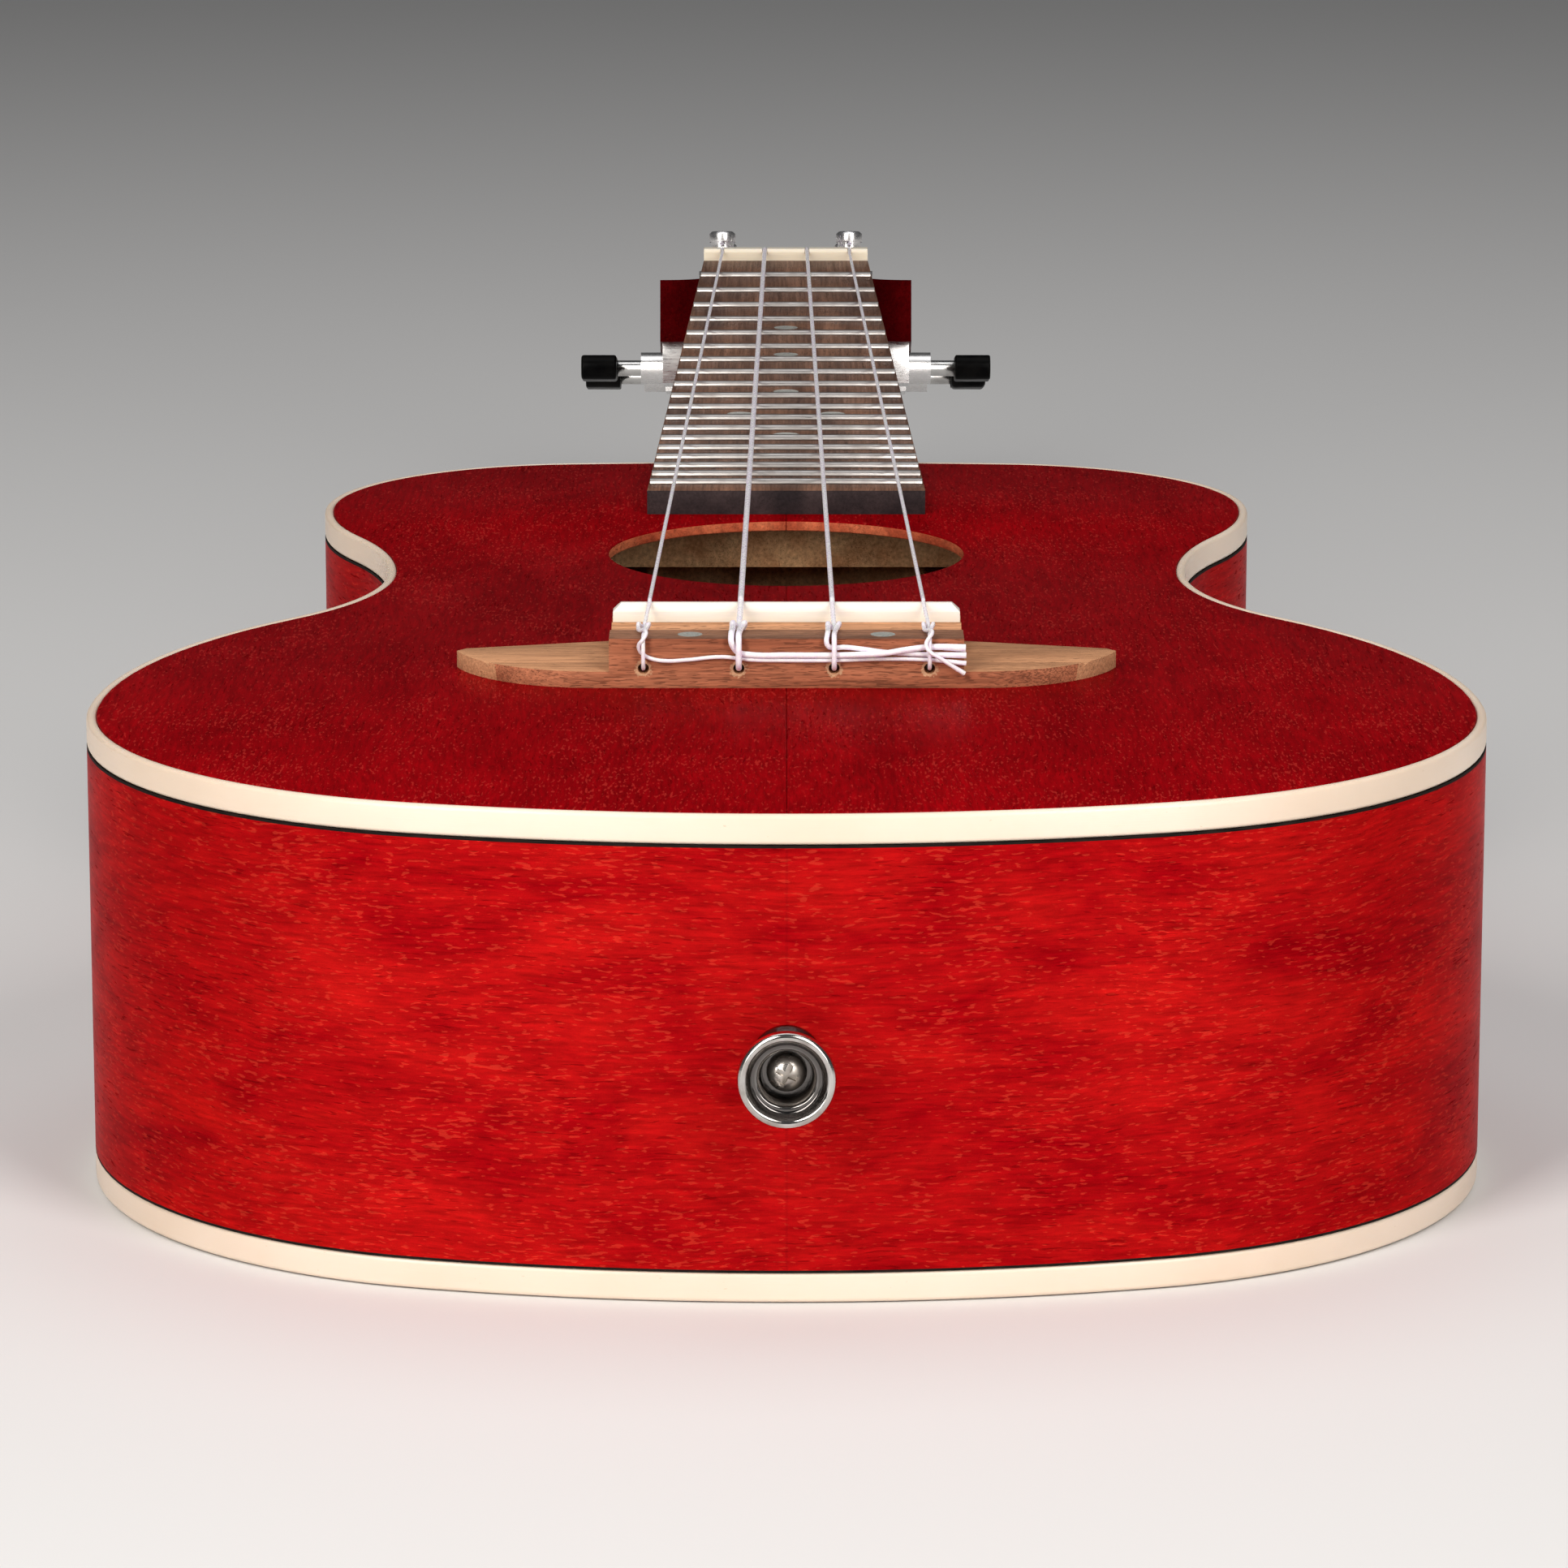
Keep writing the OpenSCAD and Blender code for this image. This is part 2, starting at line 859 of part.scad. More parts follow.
module head_plan(root_half, tip_half) {
    right = head_half_plan(root_half, tip_half);
    left = [for (i = [len(right) - 2:-1:0]) [-right[i][0], right[i][1]]];
    polygon(concat(right, left));
}

// Open-bottomed gear case with a nose round the shaft and an ear for its screw
module tuner_housings() {
    back = -head_t;
    color("gainsboro")
        at_each_tuner()
            difference() {
                union() {
                    block_at(box_x0, box_x1, box_v0, box_v1, back - box_h, back);
                    translate([box_x1, worm_v, worm_w])
                        rotate([0, 90, 0])
                            cylinder(r = nose_r, h = nose_x - box_x1);
                    translate([0, ear_v, back - 1.6])
                        cylinder(r = ear_r, h = 1.6);
                    block_at(-ear_r, ear_r, box_v1 - 1, ear_v, back - 1.6, back);
                }
                block_at(box_x0 + wall, box_x1 - wall, box_v0 + wall, box_v1 - wall, back - 20, back - wall);
                translate([box_x0 + 0.4, worm_v, worm_w])
                    rotate([0, 90, 0])
                        cylinder(r = 1.2 + run_fit, h = wall);
                translate([box_x1 - wall - 1, worm_v, worm_w])
                    rotate([0, 90, 0])
                        cylinder(r = shaft_r + run_fit, h = 20);
                translate([0, 0, back - wall - 1])
                    cylinder(r = post_r + run_fit, h = 5);
                translate([0, ear_v, back - 5])
                    cylinder(r = pilot_r, h = 10);
            }
}

module tuner_covers() {
    back = -head_t;
    color("silver")
        at_each_tuner()
            block_at(box_x0 + wall, box_x1 - wall, box_v0 + wall, box_v1 - wall,
                back - box_h, back - box_h + 1);
}

module tuner_bushings() {
    color("silver")
        at_each_tuner()
            difference() {
                union() {
                    translate([0, 0, -head_t])
                        cylinder(r = bush_r, h = head_t + 1);
                    translate([0, 0, 0.8])
                        cylinder(r = 5.4, h = 2.2, $fn = 6);
                }
                translate([0, 0, -head_t - 1])
                    cylinder(r = post_r + run_fit, h = head_t + 6);
            }
}

module tuner_washers() {
    color("silver")
        at_each_tuner()
            difference() {
                cylinder(r = 6.2, h = 0.8);
                translate([0, 0, -1])
                    cylinder(r = bush_r, h = 3);
            }
}

module tuner_screws() {
    back = -head_t;
    color("silver")
        at_each_tuner()
            translate([0, ear_v, 0]) {
                translate([0, 0, back - 1.6])
                    cylinder(r = pilot_r, h = 8.6);
                translate([0, 0, back - 2.8])
                    cylinder(r = 1.9, h = 1.2);
            }
}

// Flat oval knob pressed on the end of the worm shaft
module tuner_button(i) {
    length = 14.5;
    thick = 5.6;
    color("black")
        at_tuner(i)
            difference() {
                translate([button_x0, worm_v, worm_w])
                    rotate([0, 90, 0])
                        linear_extrude(button_x1 - button_x0) {
                            square([thick, length - thick], center = true);
                            for (end = [-1, 1])
                                translate([0, end * (length - thick) / 2])
                                    circle(thick / 2);
                        }
                translate([button_x0 - 1, worm_v, worm_w])
                    rotate([0, 90, 0])
                        cylinder(r = shaft_r, h = button_x1 - button_x0 - 1);
            }
}

// Shaft with a ringed worm over the wheel and a collar inside the case wall
module worm_shaft(i) {
    color("silver")
        at_tuner(i)
            translate([0, worm_v, worm_w])
                rotate([0, 90, 0]) {
                    translate([0, 0, box_x0 + 0.6])
                        cylinder(r = 1.2, h = wall);
                    translate([0, 0, box_x0 + wall + 0.3])
                        cylinder(r = shaft_r, h = button_x1 - 2 - box_x0 - wall - 0.3);
                    for (k = [-3:3])
                        translate([0, 0, 1.5 * k - 0.4])
                            cylinder(r = worm_r, h = 0.8);
                    translate([0, 0, box_x1 - wall - 2.1])
                        cylinder(r = worm_r, h = 1.9);
                }
}

module string_post(i) {
    hole_w = 8.4;
    color("gainsboro")
        at_tuner(i)
            difference() {
                union() {
                    translate([0, 0, wheel_w - 0.4])
                        cylinder(r = stem_r, h = wheel_h + 1);
                    translate([0, 0, wheel_w + wheel_h])
                        cylinder(r = post_r, h = 5.4 - wheel_w - wheel_h);
                    translate([0, 0, 5])
                        cylinder(r = post_r - 0.4, h = 5);
                    translate([0, 0, 9.6])
                        cylinder(r = post_r, h = post_h - 9.6 - 0.6);
                    translate([0, 0, post_h - 0.6])
                        cylinder(r1 = post_r, r2 = post_r - 0.6, h = 0.6);
                }
                translate([0, -10, hole_w + 0.6])
                    rotate([-90, 0, 0])
                        cylinder(r = 0.6, h = 20);
            }
}

module worm_wheel(i) {
    step = 360 / wheel_teeth;
    color("gold")
        at_tuner(i)
            translate([0, 0, wheel_w])
                difference() {
                    linear_extrude(wheel_h)
                        polygon([for (k = [0:wheel_teeth - 1], p = [0:3])
                            let (a = step * (k + [0.05, 0.3, 0.45, 0.8][p]),
                                r = [wheel_root_r, wheel_tip_r, wheel_tip_r, wheel_root_r][p])
                            r * [cos(a), sin(a)]]);
                    translate([0, 0, -1])
                        cylinder(r = stem_r, h = wheel_h + 2);
                }
}

module string_winding(i) {
    color("lavender")
        at_tuner(i)
            translate([0, 0, wind_w - wind_h / 2])
                difference() {
                    cylinder(r = wind_r, h = wind_h);
                    translate([0, 0, -1])
                        cylinder(r = post_r - 0.4, h = wind_h + 2);
                }
}

soundboard_bass();
soundboard_treble();
back_panel();
side_bass();
side_treble();
top_binding();
back_binding();
top_purfling();
back_purfling();
top_linings();
back_linings();
tail_block();
neck_block();
soundboard_braces();
back_braces();
bridge_plate();
neck();
heel_cap();
headstock();
fretboard();
frets();
position_dots();
side_dots();
nut();
saddle();
bridge();
bridge_dots();
bridge_bolts();
strap_button();
strap_button_screw();
string_g();
string_c();
string_e();
string_a();
tuner_housings();
tuner_covers();
tuner_bushings();
tuner_washers();
tuner_screws();
tuner_button(0);  // tuner_button_g
tuner_button(1);  // tuner_button_c
tuner_button(2);  // tuner_button_e
tuner_button(3);  // tuner_button_a
worm_shaft(0);  // worm_shaft_g
worm_shaft(1);  // worm_shaft_c
worm_shaft(2);  // worm_shaft_e
worm_shaft(3);  // worm_shaft_a
string_post(0);  // string_post_g
string_post(1);  // string_post_c
string_post(2);  // string_post_e
string_post(3);  // string_post_a
worm_wheel(0);  // worm_wheel_g
worm_wheel(1);  // worm_wheel_c
worm_wheel(2);  // worm_wheel_e
worm_wheel(3);  // worm_wheel_a
string_winding(0);  // string_winding_g
string_winding(1);  // string_winding_c
string_winding(2);  // string_winding_e
string_winding(3);  // string_winding_a
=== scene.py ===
import json
import math

import bpy
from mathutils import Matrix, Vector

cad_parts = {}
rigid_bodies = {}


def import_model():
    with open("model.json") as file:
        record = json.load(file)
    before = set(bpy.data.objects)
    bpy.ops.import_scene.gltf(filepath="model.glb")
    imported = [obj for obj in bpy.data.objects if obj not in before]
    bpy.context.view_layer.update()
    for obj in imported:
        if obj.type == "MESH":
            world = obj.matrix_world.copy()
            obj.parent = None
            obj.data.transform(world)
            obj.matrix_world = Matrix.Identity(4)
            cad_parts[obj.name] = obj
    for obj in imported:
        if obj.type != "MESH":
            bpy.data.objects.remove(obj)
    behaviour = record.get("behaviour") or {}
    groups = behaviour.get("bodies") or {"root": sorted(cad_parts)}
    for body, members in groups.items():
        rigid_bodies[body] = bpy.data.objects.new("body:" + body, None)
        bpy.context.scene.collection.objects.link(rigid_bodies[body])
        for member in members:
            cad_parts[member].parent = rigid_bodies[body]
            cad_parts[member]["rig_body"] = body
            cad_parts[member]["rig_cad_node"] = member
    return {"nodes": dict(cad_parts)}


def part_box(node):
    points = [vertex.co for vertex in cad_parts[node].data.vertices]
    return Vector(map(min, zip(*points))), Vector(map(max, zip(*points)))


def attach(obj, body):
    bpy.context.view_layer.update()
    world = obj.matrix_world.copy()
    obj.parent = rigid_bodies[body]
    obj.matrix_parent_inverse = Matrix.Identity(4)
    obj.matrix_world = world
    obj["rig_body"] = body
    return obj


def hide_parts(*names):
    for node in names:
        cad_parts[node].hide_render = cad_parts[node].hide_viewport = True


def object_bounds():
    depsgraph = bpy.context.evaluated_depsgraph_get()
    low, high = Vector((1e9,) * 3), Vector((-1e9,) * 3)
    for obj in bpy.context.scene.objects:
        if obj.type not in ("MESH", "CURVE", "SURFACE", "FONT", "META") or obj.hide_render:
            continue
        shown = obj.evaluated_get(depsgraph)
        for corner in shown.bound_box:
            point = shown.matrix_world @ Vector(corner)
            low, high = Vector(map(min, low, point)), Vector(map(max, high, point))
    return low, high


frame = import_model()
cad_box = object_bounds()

MM = 0.001
nodes = frame["nodes"]

# The room is a plain pale floor that the instrument lies on. Two soft boxes stand
# in front at either hand, a third hangs over the soundboard, and the camera looks
# low along the strings from behind the tail.
bpy.context.scene.view_settings.view_transform = "Standard"


def place(tree, kind, sockets=None, **settings):
    """puts a node in a material and fills or links its sockets"""
    made = tree.nodes.new(kind)
    for name, value in settings.items():
        setattr(made, name, value)
    for name, value in (sockets or {}).items():
        if isinstance(value, bpy.types.NodeSocket):
            tree.links.new(value, made.inputs[name])
        else:
            made.inputs[name].default_value = value
    return made


def select_nothing():
    """leaves edit mode and deselects everything"""
    if bpy.context.object and bpy.context.object.mode == "EDIT":
        bpy.ops.object.mode_set(mode="OBJECT")
    bpy.ops.object.select_all(action="DESELECT")


def feed(shader, socket, value):
    """sends a pattern into one of the shader's sockets"""
    shader.id_data.links.new(value, shader.inputs[socket])


def aim(thing, target):
    """turns a lamp so that it faces a point"""
    to_target = target - thing.location
    thing.rotation_euler = to_target.to_track_quat("-Z", "Y").to_euler()


def new_material(name):
    """a plain material, its node tree and its shader"""
    material = bpy.data.materials.new(name)
    material.use_nodes = True
    return material, material.node_tree, material.node_tree.nodes["Principled BSDF"]


floor_size, floor_gap = 9, 0.2 * MM
select_nothing()
bpy.ops.mesh.primitive_plane_add(size=floor_size, location=(0, 1.2, cad_box[0].z - floor_gap))
floor = bpy.context.object
floor.name = "floor"
floor_paint, tree, shader = new_material("floor_paint")
shader.inputs["Base Color"].default_value = (0.74, 0.735, 0.73, 1)
shader.inputs["Roughness"].default_value = 0.7
floor.data.materials.append(floor_paint)

tail_middle = (cad_box[0] + cad_box[1]) / 2
tail_middle.y = cad_box[0].y
for name, width, height, spot, watts, tint in [
    ("softbox_bass", 0.5, 1.35, (-0.74, -1.08, 0.78), 21, (1, 0.97, 0.93)),
    ("softbox_treble", 0.5, 1.35, (0.74, -1.08, 0.78), 17, (1, 0.97, 0.94)),
    ("softbox_top", 1.2, 1.0, (0, 0.35, 1.45), 6, (0.97, 0.98, 1)),
]:
    bpy.ops.object.light_add(type="AREA", location=spot)
    lamp = bpy.context.object
    lamp.name = name
    lamp.data.shape = "RECTANGLE"
    lamp.data.size = width
    lamp.data.size_y = height
    lamp.data.energy = watts
    lamp.data.color = tint
    aim(lamp, tail_middle)

room = bpy.data.worlds.new("room")
bpy.context.scene.world = room
room.use_nodes = True
backdrop = room.node_tree.nodes["Background"]
backdrop.inputs["Color"].default_value = (0.9, 0.92, 0.95, 1)
backdrop.inputs["Strength"].default_value = 0.07

bpy.ops.object.camera_add(location=(-0.0004, -1.1233, 0.3042), rotation=(math.radians(77.49), 0, 0))
camera = bpy.context.object
camera.data.lens = 160.04
camera.data.sensor_width = 36
camera.data.clip_start = 0.05
bpy.context.scene.camera = camera

# The sides are two thin strips of mahogany, bent round a mould to the waisted
# outline and stained red, with the grain running along them. They meet in a fine
# seam in the middle of the tail, and inside they are left bare.
body_depth = 75.5 * MM
tail_distance = 113.8 * MM
side_thickness = 2 * MM
binding_width = 1.6 * MM
binding_height = 4.7 * MM
purfling_height = 0.4 * MM
tail_radius = 215 * MM
lower_half, lower_y = 111.4 * MM, -34.8 * MM
waist_half, waist_y = 70 * MM, 77.2 * MM
waist_tail_radius, waist_neck_radius = 60 * MM, 85 * MM
upper_half, upper_y = 85 * MM, 144.2 * MM
shoulder_radius = 47 * MM
body_end_y = 192.7 * MM
touching = 0.001 * MM


def joining_radius(reach, rise, radius):
    """radius of the arc that runs smoothly into an arc that turns the other way"""
    return (reach * reach + rise * rise - radius * radius) / (2 * (radius - reach))


tail_drop = tail_radius - tail_distance - lower_y
lower_radius = (tail_radius**2 - lower_half**2 - tail_drop**2) / (2 * (tail_radius - lower_half))
flank_radius = joining_radius(waist_half + waist_tail_radius - lower_half, waist_y - lower_y, waist_tail_radius)
upper_radius = joining_radius(waist_half + waist_neck_radius - upper_half, upper_y - waist_y, waist_neck_radius)
end_rise = body_end_y - upper_y
shoulder_reach = upper_half - shoulder_radius
end_radius = (shoulder_reach**2 + end_rise**2 - shoulder_radius**2) / (2 * (end_rise - shoulder_radius))

tail_centre = (0, tail_radius - tail_distance)
lower_centre = (lower_half - lower_radius, lower_y)
flank_centre = (lower_half - flank_radius, lower_y)
waist_tail_centre = (waist_half + waist_tail_radius, waist_y)
waist_neck_centre = (waist_half + waist_neck_radius, waist_y)
upper_centre = (upper_half - upper_radius, upper_y)
shoulder_centre = (shoulder_reach, upper_y)
end_centre = (0, body_end_y - end_radius)


def heading(start, end):
    """direction from one place to another, in degrees"""
    return math.degrees(math.atan2(end[1] - start[1], end[0] - start[0]))


lower_heading = heading(tail_centre, lower_centre)
flank_heading = heading(flank_centre, waist_tail_centre)
upper_heading = heading(upper_centre, waist_neck_centre)
end_heading = heading(end_centre, shoulder_centre)
body_arcs = [
    (tail_centre, tail_radius, -90, lower_heading, 14),
    (lower_centre, lower_radius, lower_heading, 0, 26),
    (flank_centre, flank_radius, 0, flank_heading, 12),
    (waist_tail_centre, waist_tail_radius, 180 + flank_heading, 180, 14),
    (waist_neck_centre, waist_neck_radius, 180, 180 + upper_heading, 12),
    (upper_centre, upper_radius, upper_heading, 0, 8),
    (shoulder_centre, shoulder_radius, 0, end_heading, 22),
    (end_centre, end_radius, end_heading, 90, 5),
]


def bend_round_body():
    """carries the selected cross-section from the tail round the treble half"""
    for centre, radius, start, end, steps in body_arcs:
        turn = math.radians(start - end)
        bpy.ops.mesh.spin(steps=steps, angle=turn, center=(*centre, 0), axis=(0, 0, 1))


def nearest_on_outline(x, y):
    """how far a place is from the outline, and how far round from the middle of the tail"""
    run, nearest, margin = 0, (1, 0), 0.02
    for centre, radius, start, end, steps in body_arcs:
        turned = heading(centre, (abs(x), y))
        if start > 90 and turned < 0:
            turned += 360
        share = (turned - start) / (end - start)
        miss = abs(math.hypot(abs(x) - centre[0], y - centre[1]) - radius)
        arc_length = radius * math.radians(abs(end - start))
        if -margin <= share <= 1 + margin:
            nearest = min(nearest, (miss, run + share * arc_length))
        run += arc_length
    return nearest


def distance_round_body(x, y):
    """length along the outline, below zero on the bass side"""
    return math.copysign(nearest_on_outline(x, y)[1], x)


def pick(piece):
    """selects one piece alone"""
    select_nothing()
    piece.select_set(True)
    bpy.context.view_layer.objects.active = piece


def strip_across(name, thickness, low, high, rounding=0):
    """a strip bent round the treble half, with its outer top corner rounded"""
    middle_y, middle_z = thickness / 2 - tail_distance, (low + high) / 2
    select_nothing()
    bpy.ops.mesh.primitive_plane_add(size=1, rotation=(0, math.pi / 2, 0))
    strip = bpy.context.object
    strip.name = name
    bpy.ops.object.transform_apply(location=True, rotation=True, scale=True)
    bpy.ops.object.mode_set(mode="EDIT")
    bpy.ops.transform.resize(value=(1, thickness, high - low), center_override=(0, 0, 0))
    bpy.ops.transform.translate(value=(0, middle_y, middle_z))
    if rounding:
        bpy.ops.object.mode_set(mode="OBJECT")
        for corner in strip.data.vertices:
            corner.select = corner.co.z > middle_z and corner.co.y < middle_y
        bpy.ops.object.mode_set(mode="EDIT")
        bpy.ops.mesh.select_mode(type="VERT")
        bpy.ops.mesh.bevel(offset=rounding, segments=5, affect="VERTICES")
        bpy.ops.mesh.select_all(action="SELECT")
    bend_round_body()
    tidy_faces(strip)
    return strip


def tidy_faces(piece):
    """merges doubled points and turns every face outwards"""
    pick(piece)
    bpy.ops.object.mode_set(mode="EDIT")
    bpy.ops.mesh.select_all(action="SELECT")
    bpy.ops.mesh.remove_doubles(threshold=touching)
    bpy.ops.mesh.normals_make_consistent(inside=False)
    bpy.ops.object.mode_set(mode="OBJECT")


def choose_faces(piece, wanted):
    """leaves the piece in edit mode with only the wanted faces selected"""
    pick(piece)
    bpy.ops.object.mode_set(mode="EDIT")
    bpy.ops.mesh.select_mode(type="FACE")
    bpy.ops.mesh.select_all(action="DESELECT")
    bpy.ops.object.mode_set(mode="OBJECT")
    for face in piece.data.polygons:
        face.select = wanted(face)
    bpy.ops.object.mode_set(mode="EDIT")


def on_centreline(face):
    """whether a face closes a half at the centreline"""
    return abs(face.center.x) < 0.01 * MM and abs(face.normal.x) > 0.9


def mirror_whole(piece):
    """opens a treble half at the centreline and mirrors it into a whole"""
    choose_faces(piece, on_centreline)
    bpy.ops.mesh.delete(type="FACE")
    bpy.ops.object.mode_set(mode="OBJECT")
    mirrored = piece.modifiers.new("other_half", "MIRROR")
    mirrored.merge_threshold = 10 * touching
    bpy.ops.object.modifier_apply(modifier=mirrored.name)
    tidy_faces(piece)


def smooth_over(piece, degrees=35):
    """shades smooth, except over edges sharper than this"""
    pick(piece)
    bpy.ops.object.shade_smooth_by_angle(angle=math.radians(degrees))


def ease_edges(piece, width, segments=2, degrees=40):
    """rounds the sharp edges by a small radius"""
    bpy.context.view_layer.objects.active = piece
    easing = piece.modifiers.new("eased_edges", "BEVEL")
    easing.width = width
    easing.segments = segments
    easing.limit_method = "ANGLE"
    easing.angle_limit = math.radians(degrees)
    bpy.ops.object.modifier_apply(modifier=easing.name)


def opposite(piece, name):
    """a mirrored copy for the other side of the centreline"""
    pick(piece)
    bpy.ops.object.duplicate()
    twin = bpy.context.object
    twin.name = name
    bpy.ops.object.mode_set(mode="EDIT")
    bpy.ops.mesh.select_all(action="SELECT")
    bpy.ops.transform.resize(value=(-1, 1, 1), center_override=(0, 0, 0))
    bpy.ops.object.mode_set(mode="OBJECT")
    tidy_faces(twin)
    return twin


def paint(piece, *materials):
    """gives a piece its finishes, the first of them all over"""
    piece.data.materials.clear()
    for material in materials:
        piece.data.materials.append(material)


def hand_over(piece, stands_for, body="ukulele"):
    """sets a finished piece on its body, in the place of its plain solid"""
    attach(piece, body)
    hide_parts(stands_for)


def new_effect(name, inputs, outputs):
    """an empty shader group with named sockets"""
    effect = bpy.data.node_groups.new(name, "ShaderNodeTree")
    for label, kind, value in inputs:
        socket = effect.interface.new_socket(name=label, in_out="INPUT", socket_type=kind)
        if kind == "NodeSocketFloat":
            socket.default_value = value
    for label, kind in outputs:
        effect.interface.new_socket(name=label, in_out="OUTPUT", socket_type=kind)
    return effect, effect.nodes.new("NodeGroupInput"), effect.nodes.new("NodeGroupOutput")


def math_of(tree, operation, first, second):
    """one sum in a material"""
    return place(tree, "ShaderNodeMath", {0: first, 1: second}, operation=operation).outputs[0]


def vector_of(tree, operation, first, second):
    """one sum of two directions in a material"""
    return place(tree, "ShaderNodeVectorMath", {0: first, 1: second}, operation=operation).outputs[0]


def join(tree, x, y, z=0.0):
    """three values as one place"""
    return place(tree, "ShaderNodeCombineXYZ", {"X": x, "Y": y, "Z": z}).outputs[0]


def spread(tree, value, low, high, to_low=0.0, to_high=1.0):
    """maps a value from one range to another and holds it there"""
    return place(
        tree, "ShaderNodeMapRange",
        {"Value": value, "From Min": low, "From Max": high, "To Min": to_low, "To Max": to_high},
    ).outputs[0]


def blend_colours(tree, share, first, second):
    """a share of the second colour over the first"""
    return place(tree, "ShaderNodeMix", {0: share, 6: first, 7: second}, data_type="RGBA").outputs[2]


def scale_colour(tree, colour, scale):
    """a colour made lighter or darker"""
    return place(tree, "ShaderNodeVectorMath", {0: colour, "Scale": scale}, operation="SCALE").outputs[0]


def stretch(tree, where, scale):
    """a place stretched along its three axes"""
    return place(tree, "ShaderNodeMapping", {"Vector": where, "Scale": scale}).outputs[0]


def cloud(tree, where, scale, detail, **sockets):
    """soft random patches"""
    sockets = {"Vector": where, "Scale": scale, "Detail": detail, **sockets}
    return place(tree, "ShaderNodeTexNoise", sockets).outputs["Fac"]


def lay(tree, effect, where, **values):
    """one of the shader groups below, with its own values"""
    return place(tree, "ShaderNodeGroup", {"Place": where, **values}, node_tree=effect).outputs


def raise_by(tree, shader, height, strength, distance=0.1 * MM):
    """a fine relief over the whole surface"""
    relief = place(tree, "ShaderNodeBump", {"Height": height, "Strength": strength, "Distance": distance})
    feed(shader, "Normal", relief.outputs[0])


def see_into(shader, weight, reach):
    """lets light a little way into the surface"""
    shader.inputs["Subsurface Weight"].default_value = weight
    shader.inputs["Subsurface Radius"].default_value = reach
    shader.inputs["Subsurface Scale"].default_value = 1.0


# grain: lines drawn out along the first axis that wander a little across it
grain, grain_in, grain_out = new_effect(
    "wood_grain",
    [("Place", "NodeSocketVector", None), ("Run", "NodeSocketFloat", 0.03),
     ("Thickness", "NodeSocketFloat", 0.0006), ("Wander", "NodeSocketFloat", 0.001)],
    [("Lines", "NodeSocketFloat"), ("Place", "NodeSocketVector")],
)
given = grain_in.outputs
drift = cloud(grain, given["Place"], 26.0, 3.0)
aside = math_of(grain, "MULTIPLY", math_of(grain, "SUBTRACT", drift, 0.5), given["Wander"])
wandered = vector_of(grain, "ADD", given["Place"], join(grain, 0.0, aside, aside))
line_size = join(grain, given["Run"], given["Thickness"], given["Thickness"])
drawn_out = vector_of(grain, "DIVIDE", wandered, line_size)
grain.links.new(cloud(grain, drawn_out, 1.0, 3.0, Roughness=0.65), grain_out.inputs["Lines"])
grain.links.new(wandered, grain_out.inputs["Place"])

# pores: short dashes along the grain, crowded in some places and few in others
pores, pores_in, pores_out = new_effect(
    "wood_pores",
    [("Place", "NodeSocketVector", None), ("Length", "NodeSocketFloat", 0.003),
     ("Width", "NodeSocketFloat", 0.0005), ("Gap", "NodeSocketFloat", 0.62), ("Shift", "NodeSocketFloat", 0.0)],
    [("Dashes", "NodeSocketFloat")],
)
given = pores_in.outputs
shifted = vector_of(pores, "ADD", given["Place"], join(pores, given["Shift"], given["Shift"]))
pore_size = join(pores, given["Length"], given["Width"], given["Width"])
pore_noise = cloud(pores, vector_of(pores, "DIVIDE", shifted, pore_size), 1.0, 1.0, Roughness=0.4)
crowded = spread(pores, cloud(pores, shifted, 55.0, 2.0), 0.35, 0.65, 0.07, -0.03)
level = math_of(pores, "SUBTRACT", pore_noise, crowded)
dashes = spread(pores, math_of(pores, "SUBTRACT", level, given["Gap"]), 0.0, 0.05)
pores.links.new(dashes, pores_out.inputs["Dashes"])


def as_it_lies(tree):
    """place on the piece itself, with the grain across the instrument"""
    return place(tree, "ShaderNodeTexCoord").outputs["Object"]


def split(tree, where):
    """the three values of a place"""
    return place(tree, "ShaderNodeSeparateXYZ", {0: where}).outputs


def along_strip(tree):
    """place on a bent strip: length round the body, height, nothing through it"""
    round_body = place(tree, "ShaderNodeAttribute", attribute_name="round_body").outputs["Fac"]
    return join(tree, round_body, split(tree, as_it_lies(tree))["Z"])


def along_instrument(tree):
    """place on a board whose grain runs from tail to head"""
    spot = split(tree, as_it_lies(tree))
    return join(tree, spot["Y"], spot["X"], spot["Z"])


